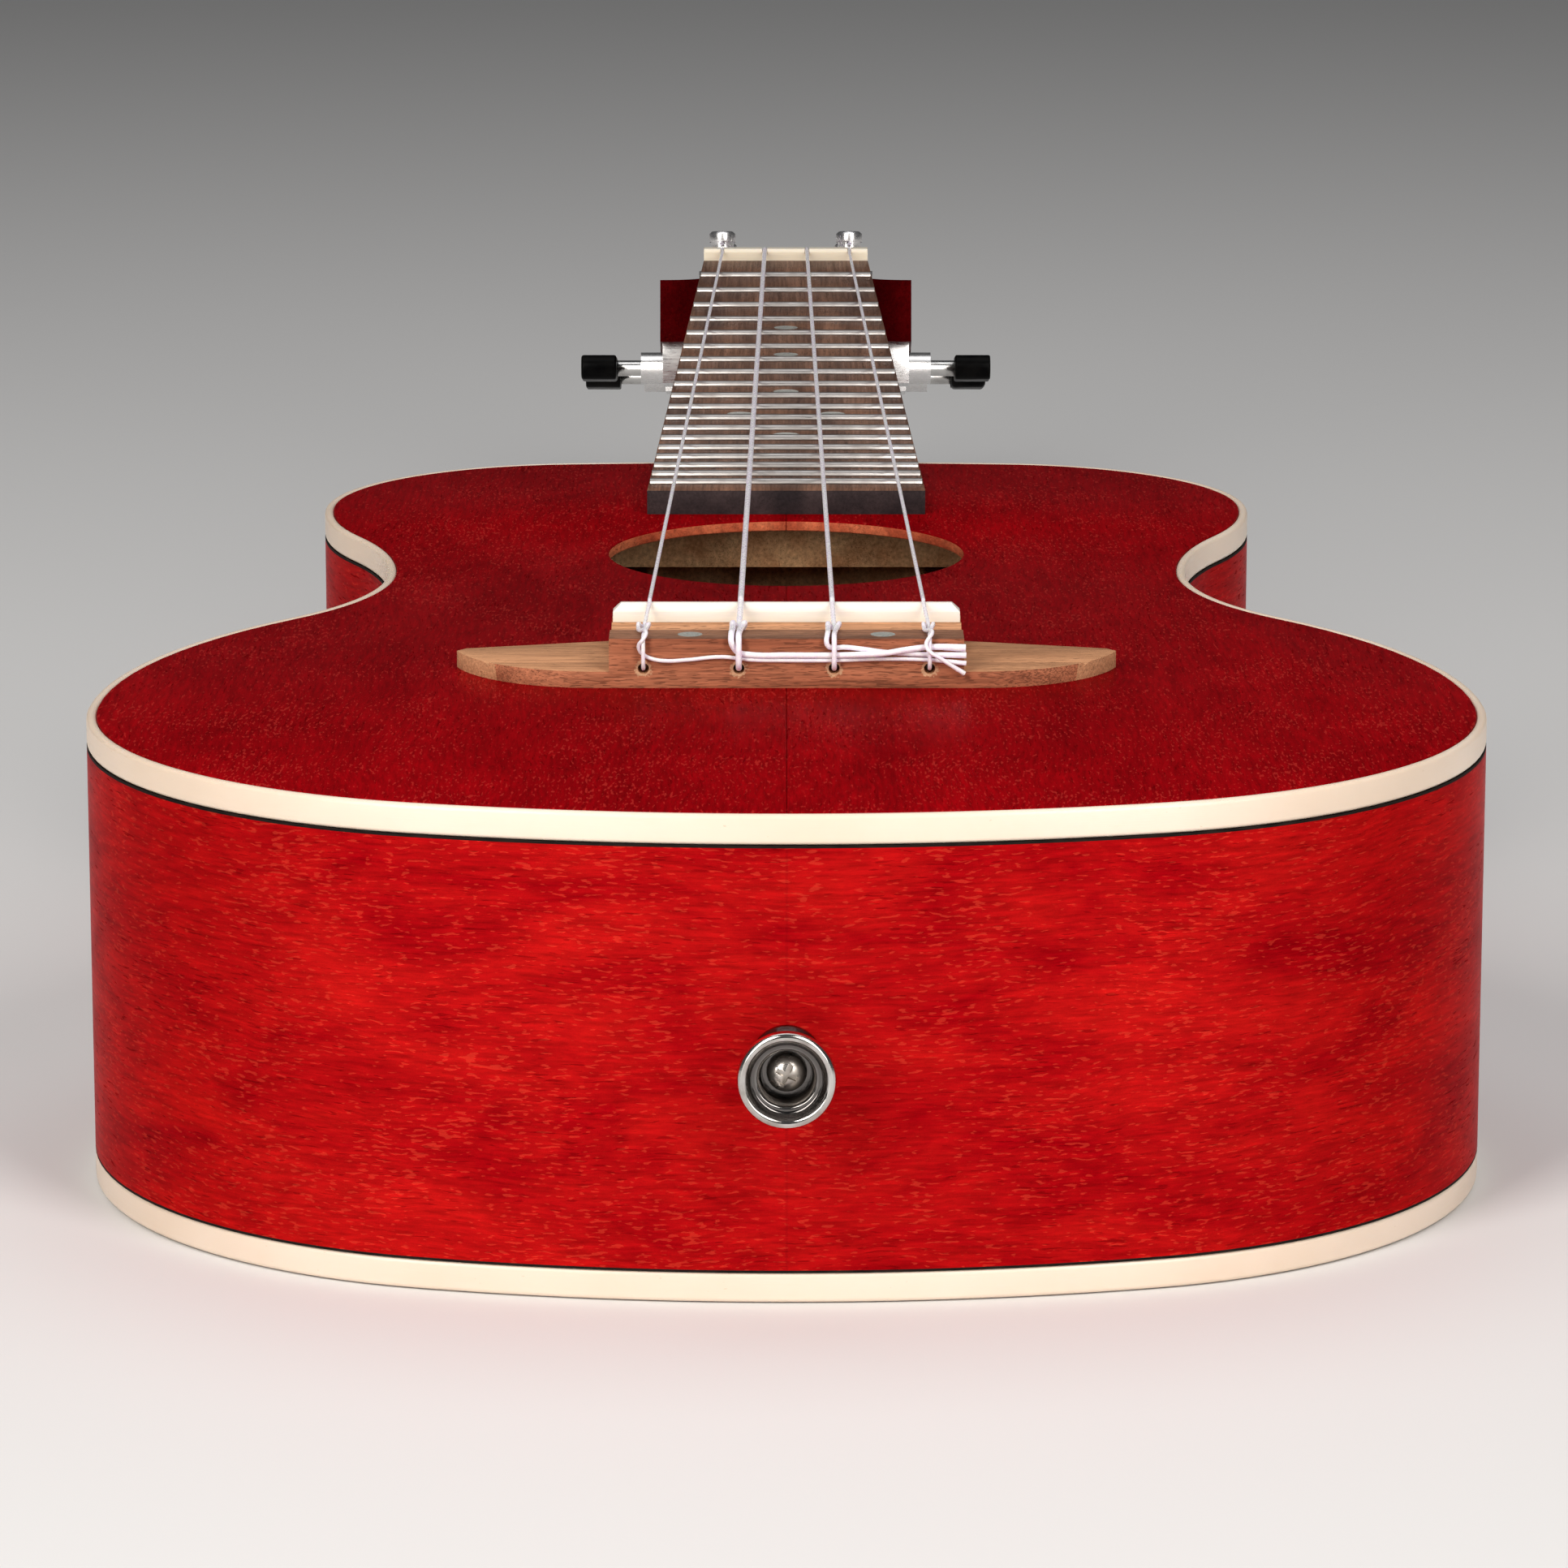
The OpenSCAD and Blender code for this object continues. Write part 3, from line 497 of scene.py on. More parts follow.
def stained_mahogany(name, deep, bright, dash, roughness, figure, dash_gap, where=along_instrument, seam=False,
                     shimmer=0.06):
    """red stain over open-pored mahogany: mottled figure, light dashes where the stain
    missed the pores, and the warm shimmer of the fibres under a satin coat"""
    material, tree, shader = new_material(name)
    in_pores = (deep[0] * 0.3, deep[1] * 0.3, deep[2] * 0.3, 1)
    spot = where(tree)
    lines = lay(tree, grain, spot, Run=7 * MM, Thickness=0.7 * MM, Wander=4 * MM)
    mottle = cloud(tree, stretch(tree, spot, (0.55, 1.6, 1.6)), figure, 7.0, Roughness=0.68, Distortion=0.6)
    ground = blend_colours(tree, spread(tree, mottle, 0.34, 0.68), deep, bright)
    streaked = scale_colour(tree, ground, spread(tree, lines["Lines"], 0.3, 0.7, 0.72, 1.26))
    light_dash = lay(tree, pores, lines["Place"], Length=1.7 * MM, Width=0.45 * MM, Gap=dash_gap)[0]
    dark_dash = lay(tree, pores, lines["Place"], Length=3.6 * MM, Width=0.4 * MM, Gap=0.66, Shift=0.37)[0]
    flecked = blend_colours(tree, math_of(tree, "MULTIPLY", light_dash, 0.18), streaked, dash)
    finished = blend_colours(tree, math_of(tree, "MULTIPLY", dark_dash, 0.42), flecked, in_pores)
    if seam:
        from_seam = math_of(tree, "ABSOLUTE", split(tree, as_it_lies(tree))["X"], 0.0)
        joint = spread(tree, from_seam, 0.06 * MM, 0.3 * MM, 0.16, 0.0)
        finished = blend_colours(tree, joint, finished, (deep[0] * 0.35, deep[1], deep[2], 1))
    feed(shader, "Base Color", finished)
    satin = spread(tree, mottle, 0.3, 0.7, roughness + 0.05, roughness - 0.05)
    duller = math_of(tree, "ADD", satin, math_of(tree, "MULTIPLY", dark_dash, 0.2))
    feed(shader, "Roughness", duller)
    shader.inputs["Specular IOR Level"].default_value = 0.01
    shader.inputs["Specular Tint"].default_value = (0.7, 0.02, 0.02, 1)
    feed(shader, "Metallic", spread(tree, mottle, 0.3, 0.7, shimmer * 0.6, shimmer * 1.4))
    hollow = math_of(tree, "SUBTRACT", math_of(tree, "MULTIPLY", lines["Lines"], 0.25), dark_dash)
    height = math_of(tree, "SUBTRACT", hollow, math_of(tree, "MULTIPLY", light_dash, 0.5))
    raise_by(tree, shader, height, 0.35, 0.12 * MM)
    return material


def bare_wood(name, light, dark, roughness=0.62, run=20 * MM, thickness=0.8 * MM, dash_gap=0.62, contrast=1.0,
              where=along_instrument):
    """wood without finish: streaks of two colours, dark pores and a dull fibrous surface"""
    material, tree, shader = new_material(name)
    in_pores = (dark[0] * 0.3, dark[1] * 0.3, dark[2] * 0.3, 1)
    lines = lay(tree, grain, where(tree), Run=run, Thickness=thickness, Wander=2 * MM)
    band = cloud(tree, stretch(tree, lines["Place"], (12, 160, 160)), 1.0, 3.0)
    toned = blend_colours(tree, spread(tree, band, 0.35, 0.65), light, dark)
    streak = spread(tree, lines["Lines"], 0.28, 0.72, 1 - 0.38 * contrast, 1 + 0.3 * contrast)
    fibre = lay(tree, pores, lines["Place"], Length=2.2 * MM, Width=0.22 * MM, Gap=dash_gap)[0]
    share = math_of(tree, "MULTIPLY", fibre, 0.55)
    feed(shader, "Base Color", blend_colours(tree, share, scale_colour(tree, toned, streak), in_pores))
    dull = spread(tree, lines["Lines"], 0.3, 0.7, roughness + 0.08, roughness - 0.08)
    feed(shader, "Roughness", dull)
    shader.inputs["Specular IOR Level"].default_value = 0.1
    raise_by(tree, shader, math_of(tree, "SUBTRACT", lines["Lines"], fibre), 0.5, 0.15 * MM)
    return material


def measure_round(piece, middle=1):
    """stores how far round the body each point is; the side says where the middle belongs"""
    round_body = piece.data.attributes.new("round_body", "FLOAT", "POINT")
    for point in piece.data.vertices:
        round_body.data[point.index].value = distance_round_body(point.co.x or middle * 1e-9, point.co.y)


red_side = stained_mahogany(
    "red_side", (0.24, 0.0004, 0.003, 1), (0.47, 0.007, 0.006, 1), (0.85, 0.08, 0.04, 1),
    roughness=0.34, figure=45.0, dash_gap=0.6, where=along_strip, seam=True, shimmer=0.24,
)
bare_side = bare_wood("bare_side", (0.5, 0.25, 0.12, 1), (0.34, 0.15, 0.07, 1), where=along_strip)
edging_height = binding_height + purfling_height
side_treble = strip_across("side_treble_bent", side_thickness, edging_height, body_depth - edging_height)
side_bass = opposite(side_treble, "side_bass_bent")
for side, stands_for, middle in [(side_treble, "side_treble", 1), (side_bass, "side_bass", -1)]:
    paint(side, red_side, bare_side)
    measure_round(side, middle)
    for face in side.data.polygons:
        inside = nearest_on_outline(face.center.x, face.center.y)[0] > side_thickness / 2
        face.material_index = 1 if inside else 0
    smooth_over(side)
    hand_over(side, stands_for)

# The soundboard is two thin bookmatched boards of red-stained mahogany, glued
# along the centreline. The sound hole is cut through both, and its bare edge
# shows the lighter wood.
soundboard_thickness = 2 * MM
hole_radius = 31.6 * MM
hole_y = 98.1 * MM

red_top = stained_mahogany(
    "red_top", (0.17, 0.0004, 0.002, 1), (0.27, 0.001, 0.003, 1), (0.78, 0.07, 0.05, 1),
    roughness=0.4, figure=38.0, dash_gap=0.61,
)
bare_top = bare_wood("bare_top", (0.62, 0.16, 0.07, 1), (0.4, 0.07, 0.03, 1))


def lone_point(name, x, y, z):
    """one point to draw an outline from"""
    select_nothing()
    bpy.ops.mesh.primitive_plane_add(size=MM)
    piece = bpy.context.object
    piece.name = name
    bpy.ops.object.mode_set(mode="EDIT")
    bpy.ops.mesh.select_mode(type="VERT")
    bpy.ops.mesh.merge(type="CENTER")
    bpy.ops.transform.translate(value=(x, y, z))
    return piece


def draw_on(x, y, z=0):
    """carries what is selected on by one straight step"""
    bpy.ops.mesh.extrude_region_move(TRANSFORM_OT_translate={"value": (x, y, z)})


def close_and_thicken(down):
    """fills a drawn outline and gives it its thickness"""
    bpy.ops.mesh.select_all(action="SELECT")
    bpy.ops.mesh.remove_doubles(threshold=touching)
    bpy.ops.mesh.edge_face_add()
    draw_on(0, 0, down)


board_tail_y, board_end_y = binding_width - tail_distance, body_end_y - binding_width
board_treble = lone_point("soundboard_treble_half", 0, board_tail_y, body_depth)
bend_round_body()
draw_on(0, hole_y + hole_radius - board_end_y)
bpy.ops.mesh.spin(steps=56, angle=math.radians(180), center=(0, hole_y, 0), axis=(0, 0, 1))
draw_on(0, board_tail_y - (hole_y - hole_radius))
close_and_thicken(-soundboard_thickness)
tidy_faces(board_treble)
board_bass = opposite(board_treble, "soundboard_bass_half")
for board, stands_for in [(board_treble, "soundboard_treble"), (board_bass, "soundboard_bass")]:
    ease_edges(board, 0.25 * MM, 2, 60)
    paint(board, red_top, bare_top)
    for face in board.data.polygons:
        from_hole = math.hypot(face.center.x, face.center.y - hole_y)
        in_hole = from_hole < hole_radius + 0.1 * MM and face.center.z < body_depth - 0.2 * MM
        underneath = face.normal.z < -0.5
        face.material_index = 1 if in_hole or underneath else 0
    smooth_over(board, 50)
    hand_over(board, stands_for)

# The back is one flat mahogany board, stained red outside and bare inside. It is
# let into the back binding.
back_thickness = 2.2 * MM
red_back = stained_mahogany(
    "red_back", (0.2, 0.0004, 0.002, 1), (0.34, 0.002, 0.004, 1), (0.6, 0.06, 0.035, 1),
    roughness=0.42, figure=30.0, dash_gap=0.61,
)
bare_back = bare_wood("bare_back", (0.52, 0.27, 0.14, 1), (0.36, 0.16, 0.08, 1))
back_board = lone_point("back_board", 0, board_tail_y, back_thickness)
bend_round_body()
draw_on(0, board_tail_y - board_end_y)
close_and_thicken(-back_thickness)
tidy_faces(back_board)
mirror_whole(back_board)
ease_edges(back_board, 0.2 * MM, 2, 60)
paint(back_board, red_back, bare_back)
for face in back_board.data.polygons:
    face.material_index = 1 if face.normal.z > 0.5 else 0
smooth_over(back_board, 50)
hand_over(back_board, "back_panel")

# Cream plastic binding covers both edges of the body, bent round it in one strip
# and scraped to a soft corner. A thin dark line of fibre lies beside each strip,
# against the side.
def cream_plastic(name, where):
    """scraped cream plastic, a little yellowed, with fine lines along it and a few brown specks"""
    material, tree, shader = new_material(name)
    spot = where(tree)
    aged = spread(tree, cloud(tree, spot, 22.0, 3.0), 0.35, 0.68)
    cream = blend_colours(tree, aged, (0.77, 0.635, 0.52, 1), (0.71, 0.565, 0.44, 1))
    scraped = cloud(tree, stretch(tree, spot, (120, 5200, 1)), 1.0, 2.0)
    specks = lay(tree, pores, spot, Length=1.1 * MM, Width=0.5 * MM, Gap=0.75)[0]
    share = math_of(tree, "MULTIPLY", specks, 0.35)
    feed(shader, "Base Color", blend_colours(tree, share, cream, (0.45, 0.3, 0.15, 1)))
    feed(shader, "Roughness", spread(tree, scraped, 0.3, 0.7, 0.3, 0.42))
    raise_by(tree, shader, scraped, 0.12)
    see_into(shader, 0.12, (1.5 * MM, 1.0 * MM, 0.6 * MM))
    return material


binding_plastic = cream_plastic("cream_binding_plastic", along_strip)

line_fibre, tree, shader = new_material("black_line_fibre")
fibres = cloud(tree, stretch(tree, along_strip(tree), (300, 3000, 1)), 1.0, 3.0)
blackened = spread(tree, fibres, 0.35, 0.65)
feed(shader, "Base Color", blend_colours(tree, blackened, (0.005, 0.004, 0.0035, 1), (0.016, 0.011, 0.009, 1)))
feed(shader, "Roughness", spread(tree, fibres, 0.3, 0.7, 0.5, 0.7))
shader.inputs["Specular IOR Level"].default_value = 0.05


def whole_ring(name, low, high, rounding, turned_over):
    """a strip bent all the way round: one half, opened at the centreline and mirrored"""
    ring = strip_across(name, binding_width, low, high, rounding)
    if turned_over:
        choose_faces(ring, lambda face: True)
        bpy.ops.transform.resize(value=(1, 1, -1), center_override=(0, 0, (low + high) / 2))
        bpy.ops.object.mode_set(mode="OBJECT")
    mirror_whole(ring)
    measure_round(ring)
    smooth_over(ring, 40)
    return ring


scraped_corner = 0.75 * MM
binding_foot, line_foot = body_depth - binding_height, body_depth - edging_height
for name, low, high, rounding, turned_over, stands_for in [
    ("top_binding_strip", binding_foot, body_depth, scraped_corner, False, "top_binding"),
    ("back_binding_strip", 0, binding_height, scraped_corner, True, "back_binding"),
    ("top_line", line_foot, binding_foot, 0, False, "top_purfling"),
    ("back_line", binding_height, edging_height, 0, False, "back_purfling"),
]:
    ring = whole_ring(name, low, high, rounding, turned_over)
    paint(ring, binding_plastic if rounding else line_fibre)
    hand_over(ring, stands_for)

# Inside are kerfed linings along both edges, a block at the tail and one under
# the neck, thin braces and a plate under the bridge, all of pale softwood left
# bare. They show through the sound hole.
pale_wood = bare_wood(
    "pale_wood", (0.58, 0.34, 0.17, 1), (0.42, 0.2, 0.09, 1), 0.65, run=30 * MM, thickness=0.7 * MM
)


def repaint(material, *node_names):
    """gives plain solids whose shape is right a better finish"""
    for name in node_names:
        for worn in nodes[name].material_slots:
            worn.material = material


repaint(
    pale_wood, "top_linings", "back_linings", "tail_block", "neck_block", "soundboard_braces", "back_braces",
    "bridge_plate",
)

# The neck is one mahogany stick, carved half round below the fretboard and swept
# into a heel that is glued to the body. A cream cap closes the foot of the heel.
red_neck = stained_mahogany(
    "red_neck", (0.13, 0.0005, 0.002, 1), (0.22, 0.001, 0.003, 1), (0.4, 0.03, 0.02, 1),
    roughness=0.38, figure=34.0, dash_gap=0.63,
)


def merged_copy(node_name, name):
    """the plain solid's shape as one merged mesh, with flat faces in one piece"""
    piece = nodes[node_name].copy()
    piece.data = nodes[node_name].data.copy()
    piece.name = name
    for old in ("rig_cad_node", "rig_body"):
        if old in piece:
            del piece[old]
    piece.parent = None
    bpy.context.scene.collection.objects.link(piece)
    piece.hide_render = False
    piece.hide_viewport = False
    if "COLOR_0" in piece.data.attributes:
        piece.data.attributes.remove(piece.data.attributes["COLOR_0"])
    choose_faces(piece, lambda face: True)
    bpy.ops.mesh.customdata_custom_splitnormals_clear()
    bpy.ops.mesh.remove_doubles(threshold=4 * touching)
    bpy.ops.mesh.dissolve_limited(angle_limit=math.radians(0.4), delimit=set())
    bpy.ops.object.mode_set(mode="OBJECT")
    return piece


def eased_copy(node_name, name, width, segments=2, degrees=30):
    """the plain solid's shape with its edges rounded"""
    piece = merged_copy(node_name, name)
    ease_edges(piece, width, segments, degrees)
    smooth_over(piece)
    return piece


stick = merged_copy("neck", "carved_neck")
carving = stick.modifiers.new("one_body", "REMESH")
carving.mode = "VOXEL"
carving.voxel_size = 1.1 * MM
bpy.context.view_layer.objects.active = stick
bpy.ops.object.modifier_apply(modifier=carving.name)
sanding = stick.modifiers.new("sanded", "SMOOTH")
sanding.factor = 0.6
sanding.iterations = 14
bpy.ops.object.modifier_apply(modifier=sanding.name)
neck_low, neck_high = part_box("neck")
planed = 1.0 * MM
flat_ends = [
    ((0, 0, 1), 2, neck_high.z - planed), ((0, -1, 0), 1, neck_low.y + planed), ((0, 1, 0), 1, neck_high.y - planed),
]
for facing, axis, cut_at in flat_ends:
    choose_faces(stick, lambda face: True)
    spot = [0, 0, 0]
    spot[axis] = cut_at
    bpy.ops.mesh.bisect(plane_co=spot, plane_no=facing, use_fill=True, clear_outer=True)
    bpy.ops.object.mode_set(mode="OBJECT")
for facing, axis, cut_at in flat_ends:
    choose_faces(
        stick, lambda face: face.normal[axis] * facing[axis] > 0.9 and abs(face.center[axis] - cut_at) < 0.01 * MM
    )
    draw_on(*[part * planed for part in facing])
    bpy.ops.object.mode_set(mode="OBJECT")
tidy_faces(stick)
paint(stick, red_neck)
smooth_over(stick, 45)
hand_over(stick, "neck")

heel_cap = eased_copy("heel_cap", "heel_cap_eased", 0.5 * MM, 3)
paint(heel_cap, cream_plastic("heel_cap_plastic", along_instrument))
hand_over(heel_cap, "heel_cap")

# The headstock leans back from the nut. Its shoulders are rounded, its edges are sanded soft, and it has the same red
# stain and no inlay.
# Its colour here is made much darker than the neck's, as painted shade where the light falls off toward the head.
# painted shade: the neck's red stain, darkened to stand in for the light falling off over the headstock
red_head_painted_shade = stained_mahogany(
    "red_head_painted_shade", (0.035, 0.0004, 0.001, 1), (0.065, 0.0008, 0.0015, 1), (0.16, 0.012, 0.008, 1),
    roughness=0.36, figure=34.0, dash_gap=0.63,
)
head = eased_copy("headstock", "headstock_eased", 1.7 * MM, 5, 50)
paint(head, red_head_painted_shade)
hand_over(head, "headstock")

# The fretboard is a tapered board of bare walnut, slotted for nineteen frets, with
# its edges broken. Its end over the soundboard is sanded across the grain and has
# gone dark.
walnut_board = bare_wood(
    "walnut_board", (0.24, 0.12, 0.075, 1), (0.115, 0.057, 0.038, 1), 0.5,
    run=35 * MM, thickness=0.7 * MM, dash_gap=0.6, contrast=1.1,
)
walnut_end = bare_wood(
    "walnut_end", (0.045, 0.03, 0.03, 1), (0.02, 0.014, 0.015, 1), 0.6,
    run=0.6 * MM, thickness=0.5 * MM, dash_gap=0.66, contrast=0.8,
)
fretboard_tail_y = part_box("fretboard")[0].y
fretboard = eased_copy("fretboard", "fretboard_eased", 0.22 * MM)
paint(fretboard, walnut_board, walnut_end)
for face in fretboard.data.polygons:
    at_end = face.center.y < fretboard_tail_y + 0.5 * MM
    face.material_index = 1 if at_end and face.normal.z < 0.9 else 0
hand_over(fretboard, "fretboard")

# Nineteen frets of drawn nickel silver are pressed into the slots by their tangs,
# with the ends dressed and the crowns polished along their length.
def metal(name, tone, dull_tone, roughness, polish_run, polish_width, smudge, where=as_it_lies):
    """plated or drawn metal: fine polishing lines, and faint smudges that dull the shine"""
    material, tree, shader = new_material(name)
    shader.inputs["Metallic"].default_value = 1.0
    spot = where(tree)
    polish = lay(tree, grain, spot, Run=polish_run, Thickness=polish_width, Wander=0.0)["Lines"]
    smudged = spread(tree, cloud(tree, spot, 260.0, 3.0), 0.42, 0.68)
    feed(shader, "Base Color", blend_colours(tree, smudged, tone, dull_tone))
    lined = spread(tree, polish, 0.3, 0.7, roughness * 0.75, roughness * 1.25)
    duller = math_of(tree, "ADD", lined, math_of(tree, "MULTIPLY", smudged, smudge))
    feed(shader, "Roughness", duller)
    raise_by(tree, shader, polish, 0.06)
    return material


nickel_silver = metal(
    "nickel_silver", (0.44, 0.41, 0.39, 1), (0.34, 0.31, 0.29, 1), 0.36, 6 * MM, 0.18 * MM, smudge=0.1
)
frets = eased_copy("frets", "frets_dressed", 0.2 * MM, 2, 40)
paint(frets, nickel_silver)
hand_over(frets, "frets")

# Position dots of pearly plastic are let into the board, one at most places and a
# pair at the octave, with small ones in its edge. Two more cover the bridge bolts.
pearl, tree, shader = new_material("pearl_dot")
swirl = cloud(tree, as_it_lies(tree), 420.0, 3.0, Distortion=2.5)
pearly = blend_colours(tree, spread(tree, swirl, 0.3, 0.7), (0.44, 0.43, 0.36, 1), (0.12, 0.14, 0.12, 1))
feed(shader, "Base Color", pearly)
feed(shader, "Roughness", spread(tree, swirl, 0.3, 0.7, 0.16, 0.3))
shader.inputs["Coat Weight"].default_value = 0.5
shader.inputs["Sheen Weight"].default_value = 0.2
raise_by(tree, shader, swirl, 0.08)
repaint(pearl, "position_dots", "side_dots", "bridge_dots")

# The nut and saddle are cut from bone. The nut is slotted for the strings, the
# saddle has a round crown, and both have warmer lower edges.
bone, tree, shader = new_material("cut_bone")
bone_place = as_it_lies(tree)
bone_lines = lay(tree, grain, bone_place, Run=8 * MM, Thickness=0.5 * MM, Wander=1 * MM)["Lines"]
low_edge = spread(tree, split(tree, bone_place)["Z"], body_depth + 6.2 * MM, body_depth + 8.4 * MM, 1.0, 0.0)
bone_tone = blend_colours(tree, low_edge, (0.87, 0.82, 0.74, 1), (0.82, 0.72, 0.56, 1))
feed(shader, "Base Color", scale_colour(tree, bone_tone, spread(tree, bone_lines, 0.3, 0.7, 0.95, 1.03)))
feed(shader, "Roughness", spread(tree, bone_lines, 0.3, 0.7, 0.3, 0.42))
see_into(shader, 0.25, (1.2 * MM, 0.9 * MM, 0.6 * MM))
raise_by(tree, shader, bone_lines, 0.08)
for node_name, name in [("nut", "nut_dressed"), ("saddle", "saddle_dressed")]:
    piece = eased_copy(node_name, name, 0.25 * MM, 3, 40)
    paint(piece, bone)
    hand_over(piece, node_name)

# The bridge is sawn and sanded from bare walnut with the grain across the
# instrument: thin wings, a block that the strings tie round, and a ramp up to the
# saddle slot. The drilled tie holes have frayed edges.
tie_hole_height = body_depth + 3.2 * MM
tie_span = 46.2 * MM
wing_wood, rear_wood, top_wood, ramp_wood = [
    bare_wood(name, light, dark, roughness, run * MM, thickness * MM, dash_gap, contrast, as_it_lies)
    for name, light, dark, roughness, run, thickness, dash_gap, contrast in [
        ("wing_walnut", (0.56, 0.28, 0.145, 1), (0.42, 0.2, 0.1, 1), 0.62, 12, 0.5, 0.62, 0.9),
        ("rear_walnut", (0.48, 0.18, 0.092, 1), (0.28, 0.09, 0.045, 1), 0.66, 9, 0.4, 0.56, 1.1),
        ("block_top_walnut", (0.3, 0.145, 0.085, 1), (0.2, 0.09, 0.055, 1), 0.6, 10, 0.4, 0.56, 1.1),
        ("ramp_walnut", (0.62, 0.3, 0.16, 1), (0.46, 0.21, 0.11, 1), 0.62, 12, 0.4, 0.6, 0.9),
    ]
]


def distance_from(tree, across, over, spot):
    """how far a place is from a spot, both in one plane"""
    off = join(tree, math_of(tree, "SUBTRACT", across, spot[0]), math_of(tree, "SUBTRACT", over, spot[1]))
    return place(tree, "ShaderNodeVectorMath", {0: off}, operation="LENGTH").outputs["Value"]


def tone_over(material, mask, tone):
    """lays one more colour over a finished material, where the mask is"""
    tree = material.node_tree
    shader = tree.nodes["Principled BSDF"]
    below = shader.inputs["Base Color"].links[0].from_socket
    feed(shader, "Base Color", blend_colours(tree, mask, below, tone))


tree = rear_wood.node_tree
rear_place = split(tree, as_it_lies(tree))
to_hole = None
for i in range(4):
    reach = distance_from(tree, rear_place["X"], rear_place["Z"], (tie_span * (i / 3 - 0.5), tie_hole_height))
    to_hole = reach if to_hole is None else math_of(tree, "MINIMUM", to_hole, reach)
ragged = math_of(tree, "SUBTRACT", cloud(tree, as_it_lies(tree), 2600.0, 2.0), 0.5)
to_hole = math_of(tree, "ADD", to_hole, math_of(tree, "MULTIPLY", ragged, 1.6 * MM))
tone_over(rear_wood, spread(tree, to_hole, 1.1 * MM, 1.5 * MM, 0.75, 0.0), (0.6, 0.38, 0.22, 1))
block_top, ramp_foot, ramp_y = 7.9 * MM, 2.9 * MM, -13.7 * MM
bridge = eased_copy("bridge", "bridge_sanded", 0.18 * MM, 2, 28)
paint(bridge, wing_wood, rear_wood, top_wood, ramp_wood)
for face in bridge.data.polygons:
    height = face.center.z - body_depth
    if face.normal.y < -0.75:
        face.material_index = 1
    elif height > block_top:
        face.material_index = 2
    elif height > ramp_foot and face.center.y > ramp_y:
        face.material_index = 3
smooth_over(bridge, 30)
hand_over(bridge, "bridge")

plated_steel = metal(
    "plated_steel", (0.66, 0.64, 0.62, 1), (0.5, 0.48, 0.46, 1), 0.28, 2 * MM, 0.2 * MM, 0.12, along_instrument
)
repaint(plated_steel, "bridge_bolts")

# Four clear nylon strings run from the tuners over the nut and the saddle, go
# through holes in the tie block and are tied back round themselves. Their cut
# ends lie along the back of the block, each held under the next string.
# Sizes here are in millimetres, and heights are above the soundboard.
string_names = ["g", "c", "e", "a"]
string_radii = [0.33, 0.5, 0.42, 0.33]
saddle_span, nut_span = 44.9, 28.5
saddle_crown, nut_string_height = 10.1, 6.4
nut_y, head_y = 430, 435
head_tilt = math.radians(12)
post_side, post_v, post_x = [-1, -1, 1, 1], [26, 64, 64, 26], 14.5
groove_radius, winding_w, winding_height, turn_gap = 2.6, 7.0, 2.8, 0.02

nylon, tree, shader = new_material("clear_nylon")
cloudy = spread(tree, cloud(tree, as_it_lies(tree), 900.0, 2.0), 0.35, 0.65)
rubbed = cloud(tree, as_it_lies(tree), 3800.0, 1.0)
feed(shader, "Base Color", blend_colours(tree, cloudy, (0.93, 0.87, 0.96, 1), (0.84, 0.77, 0.92, 1)))
feed(shader, "Roughness", spread(tree, rubbed, 0.3, 0.7, 0.2, 0.38))
see_into(shader, 0.6, (1.2 * MM, 1.0 * MM, 1.4 * MM))
raise_by(tree, shader, rubbed, 0.1, 0.05 * MM)


def drawn_tube(name, route, radius, start_flare=1.0):
    """a round string along a smooth route, closed at both ends"""
    line = bpy.data.curves.new(name, "CURVE")
    line.dimensions = "3D"
    line.resolution_u = 6
    line.bevel_depth = radius * MM
    line.bevel_resolution = 4
    line.use_fill_caps = True
    spline = line.splines.new("BEZIER")
    spline.bezier_points.add(len(route) - 1)
    for point, spot in zip(spline.bezier_points, route):
        point.co = [value * MM for value in spot]
        point.handle_left_type = point.handle_right_type = "AUTO"
    spline.bezier_points[0].radius = start_flare
    tube = bpy.data.objects.new(name, line)
    bpy.context.scene.collection.objects.link(tube)
    pick(tube)
    bpy.ops.object.convert(target="MESH")
    tube = bpy.context.object
    tidy_faces(tube)
    smooth_over(tube, 50)
    return tube


def on_head(x, v, w):
    """a place on the leaning headstock, from the nut and above its face"""
    return (
        x, head_y + v * math.cos(head_tilt) + w * math.sin(head_tilt),
        body_depth / MM - v * math.sin(head_tilt) + w * math.cos(head_tilt),
    )


def straight_between(start, end, shares):
    """places at some shares of the way from one to the other"""
    return [tuple(a + (b - a) * share for a, b in zip(start, end)) for share in shares]


def round_post(i, reach, degrees, w):
    """a place round a post, mirrored from side to side of the headstock"""
    x, v = reach * math.cos(math.radians(degrees)), reach * math.sin(math.radians(degrees))
    return on_head(post_side[i] * (post_x + x), post_v[i] + v, w)


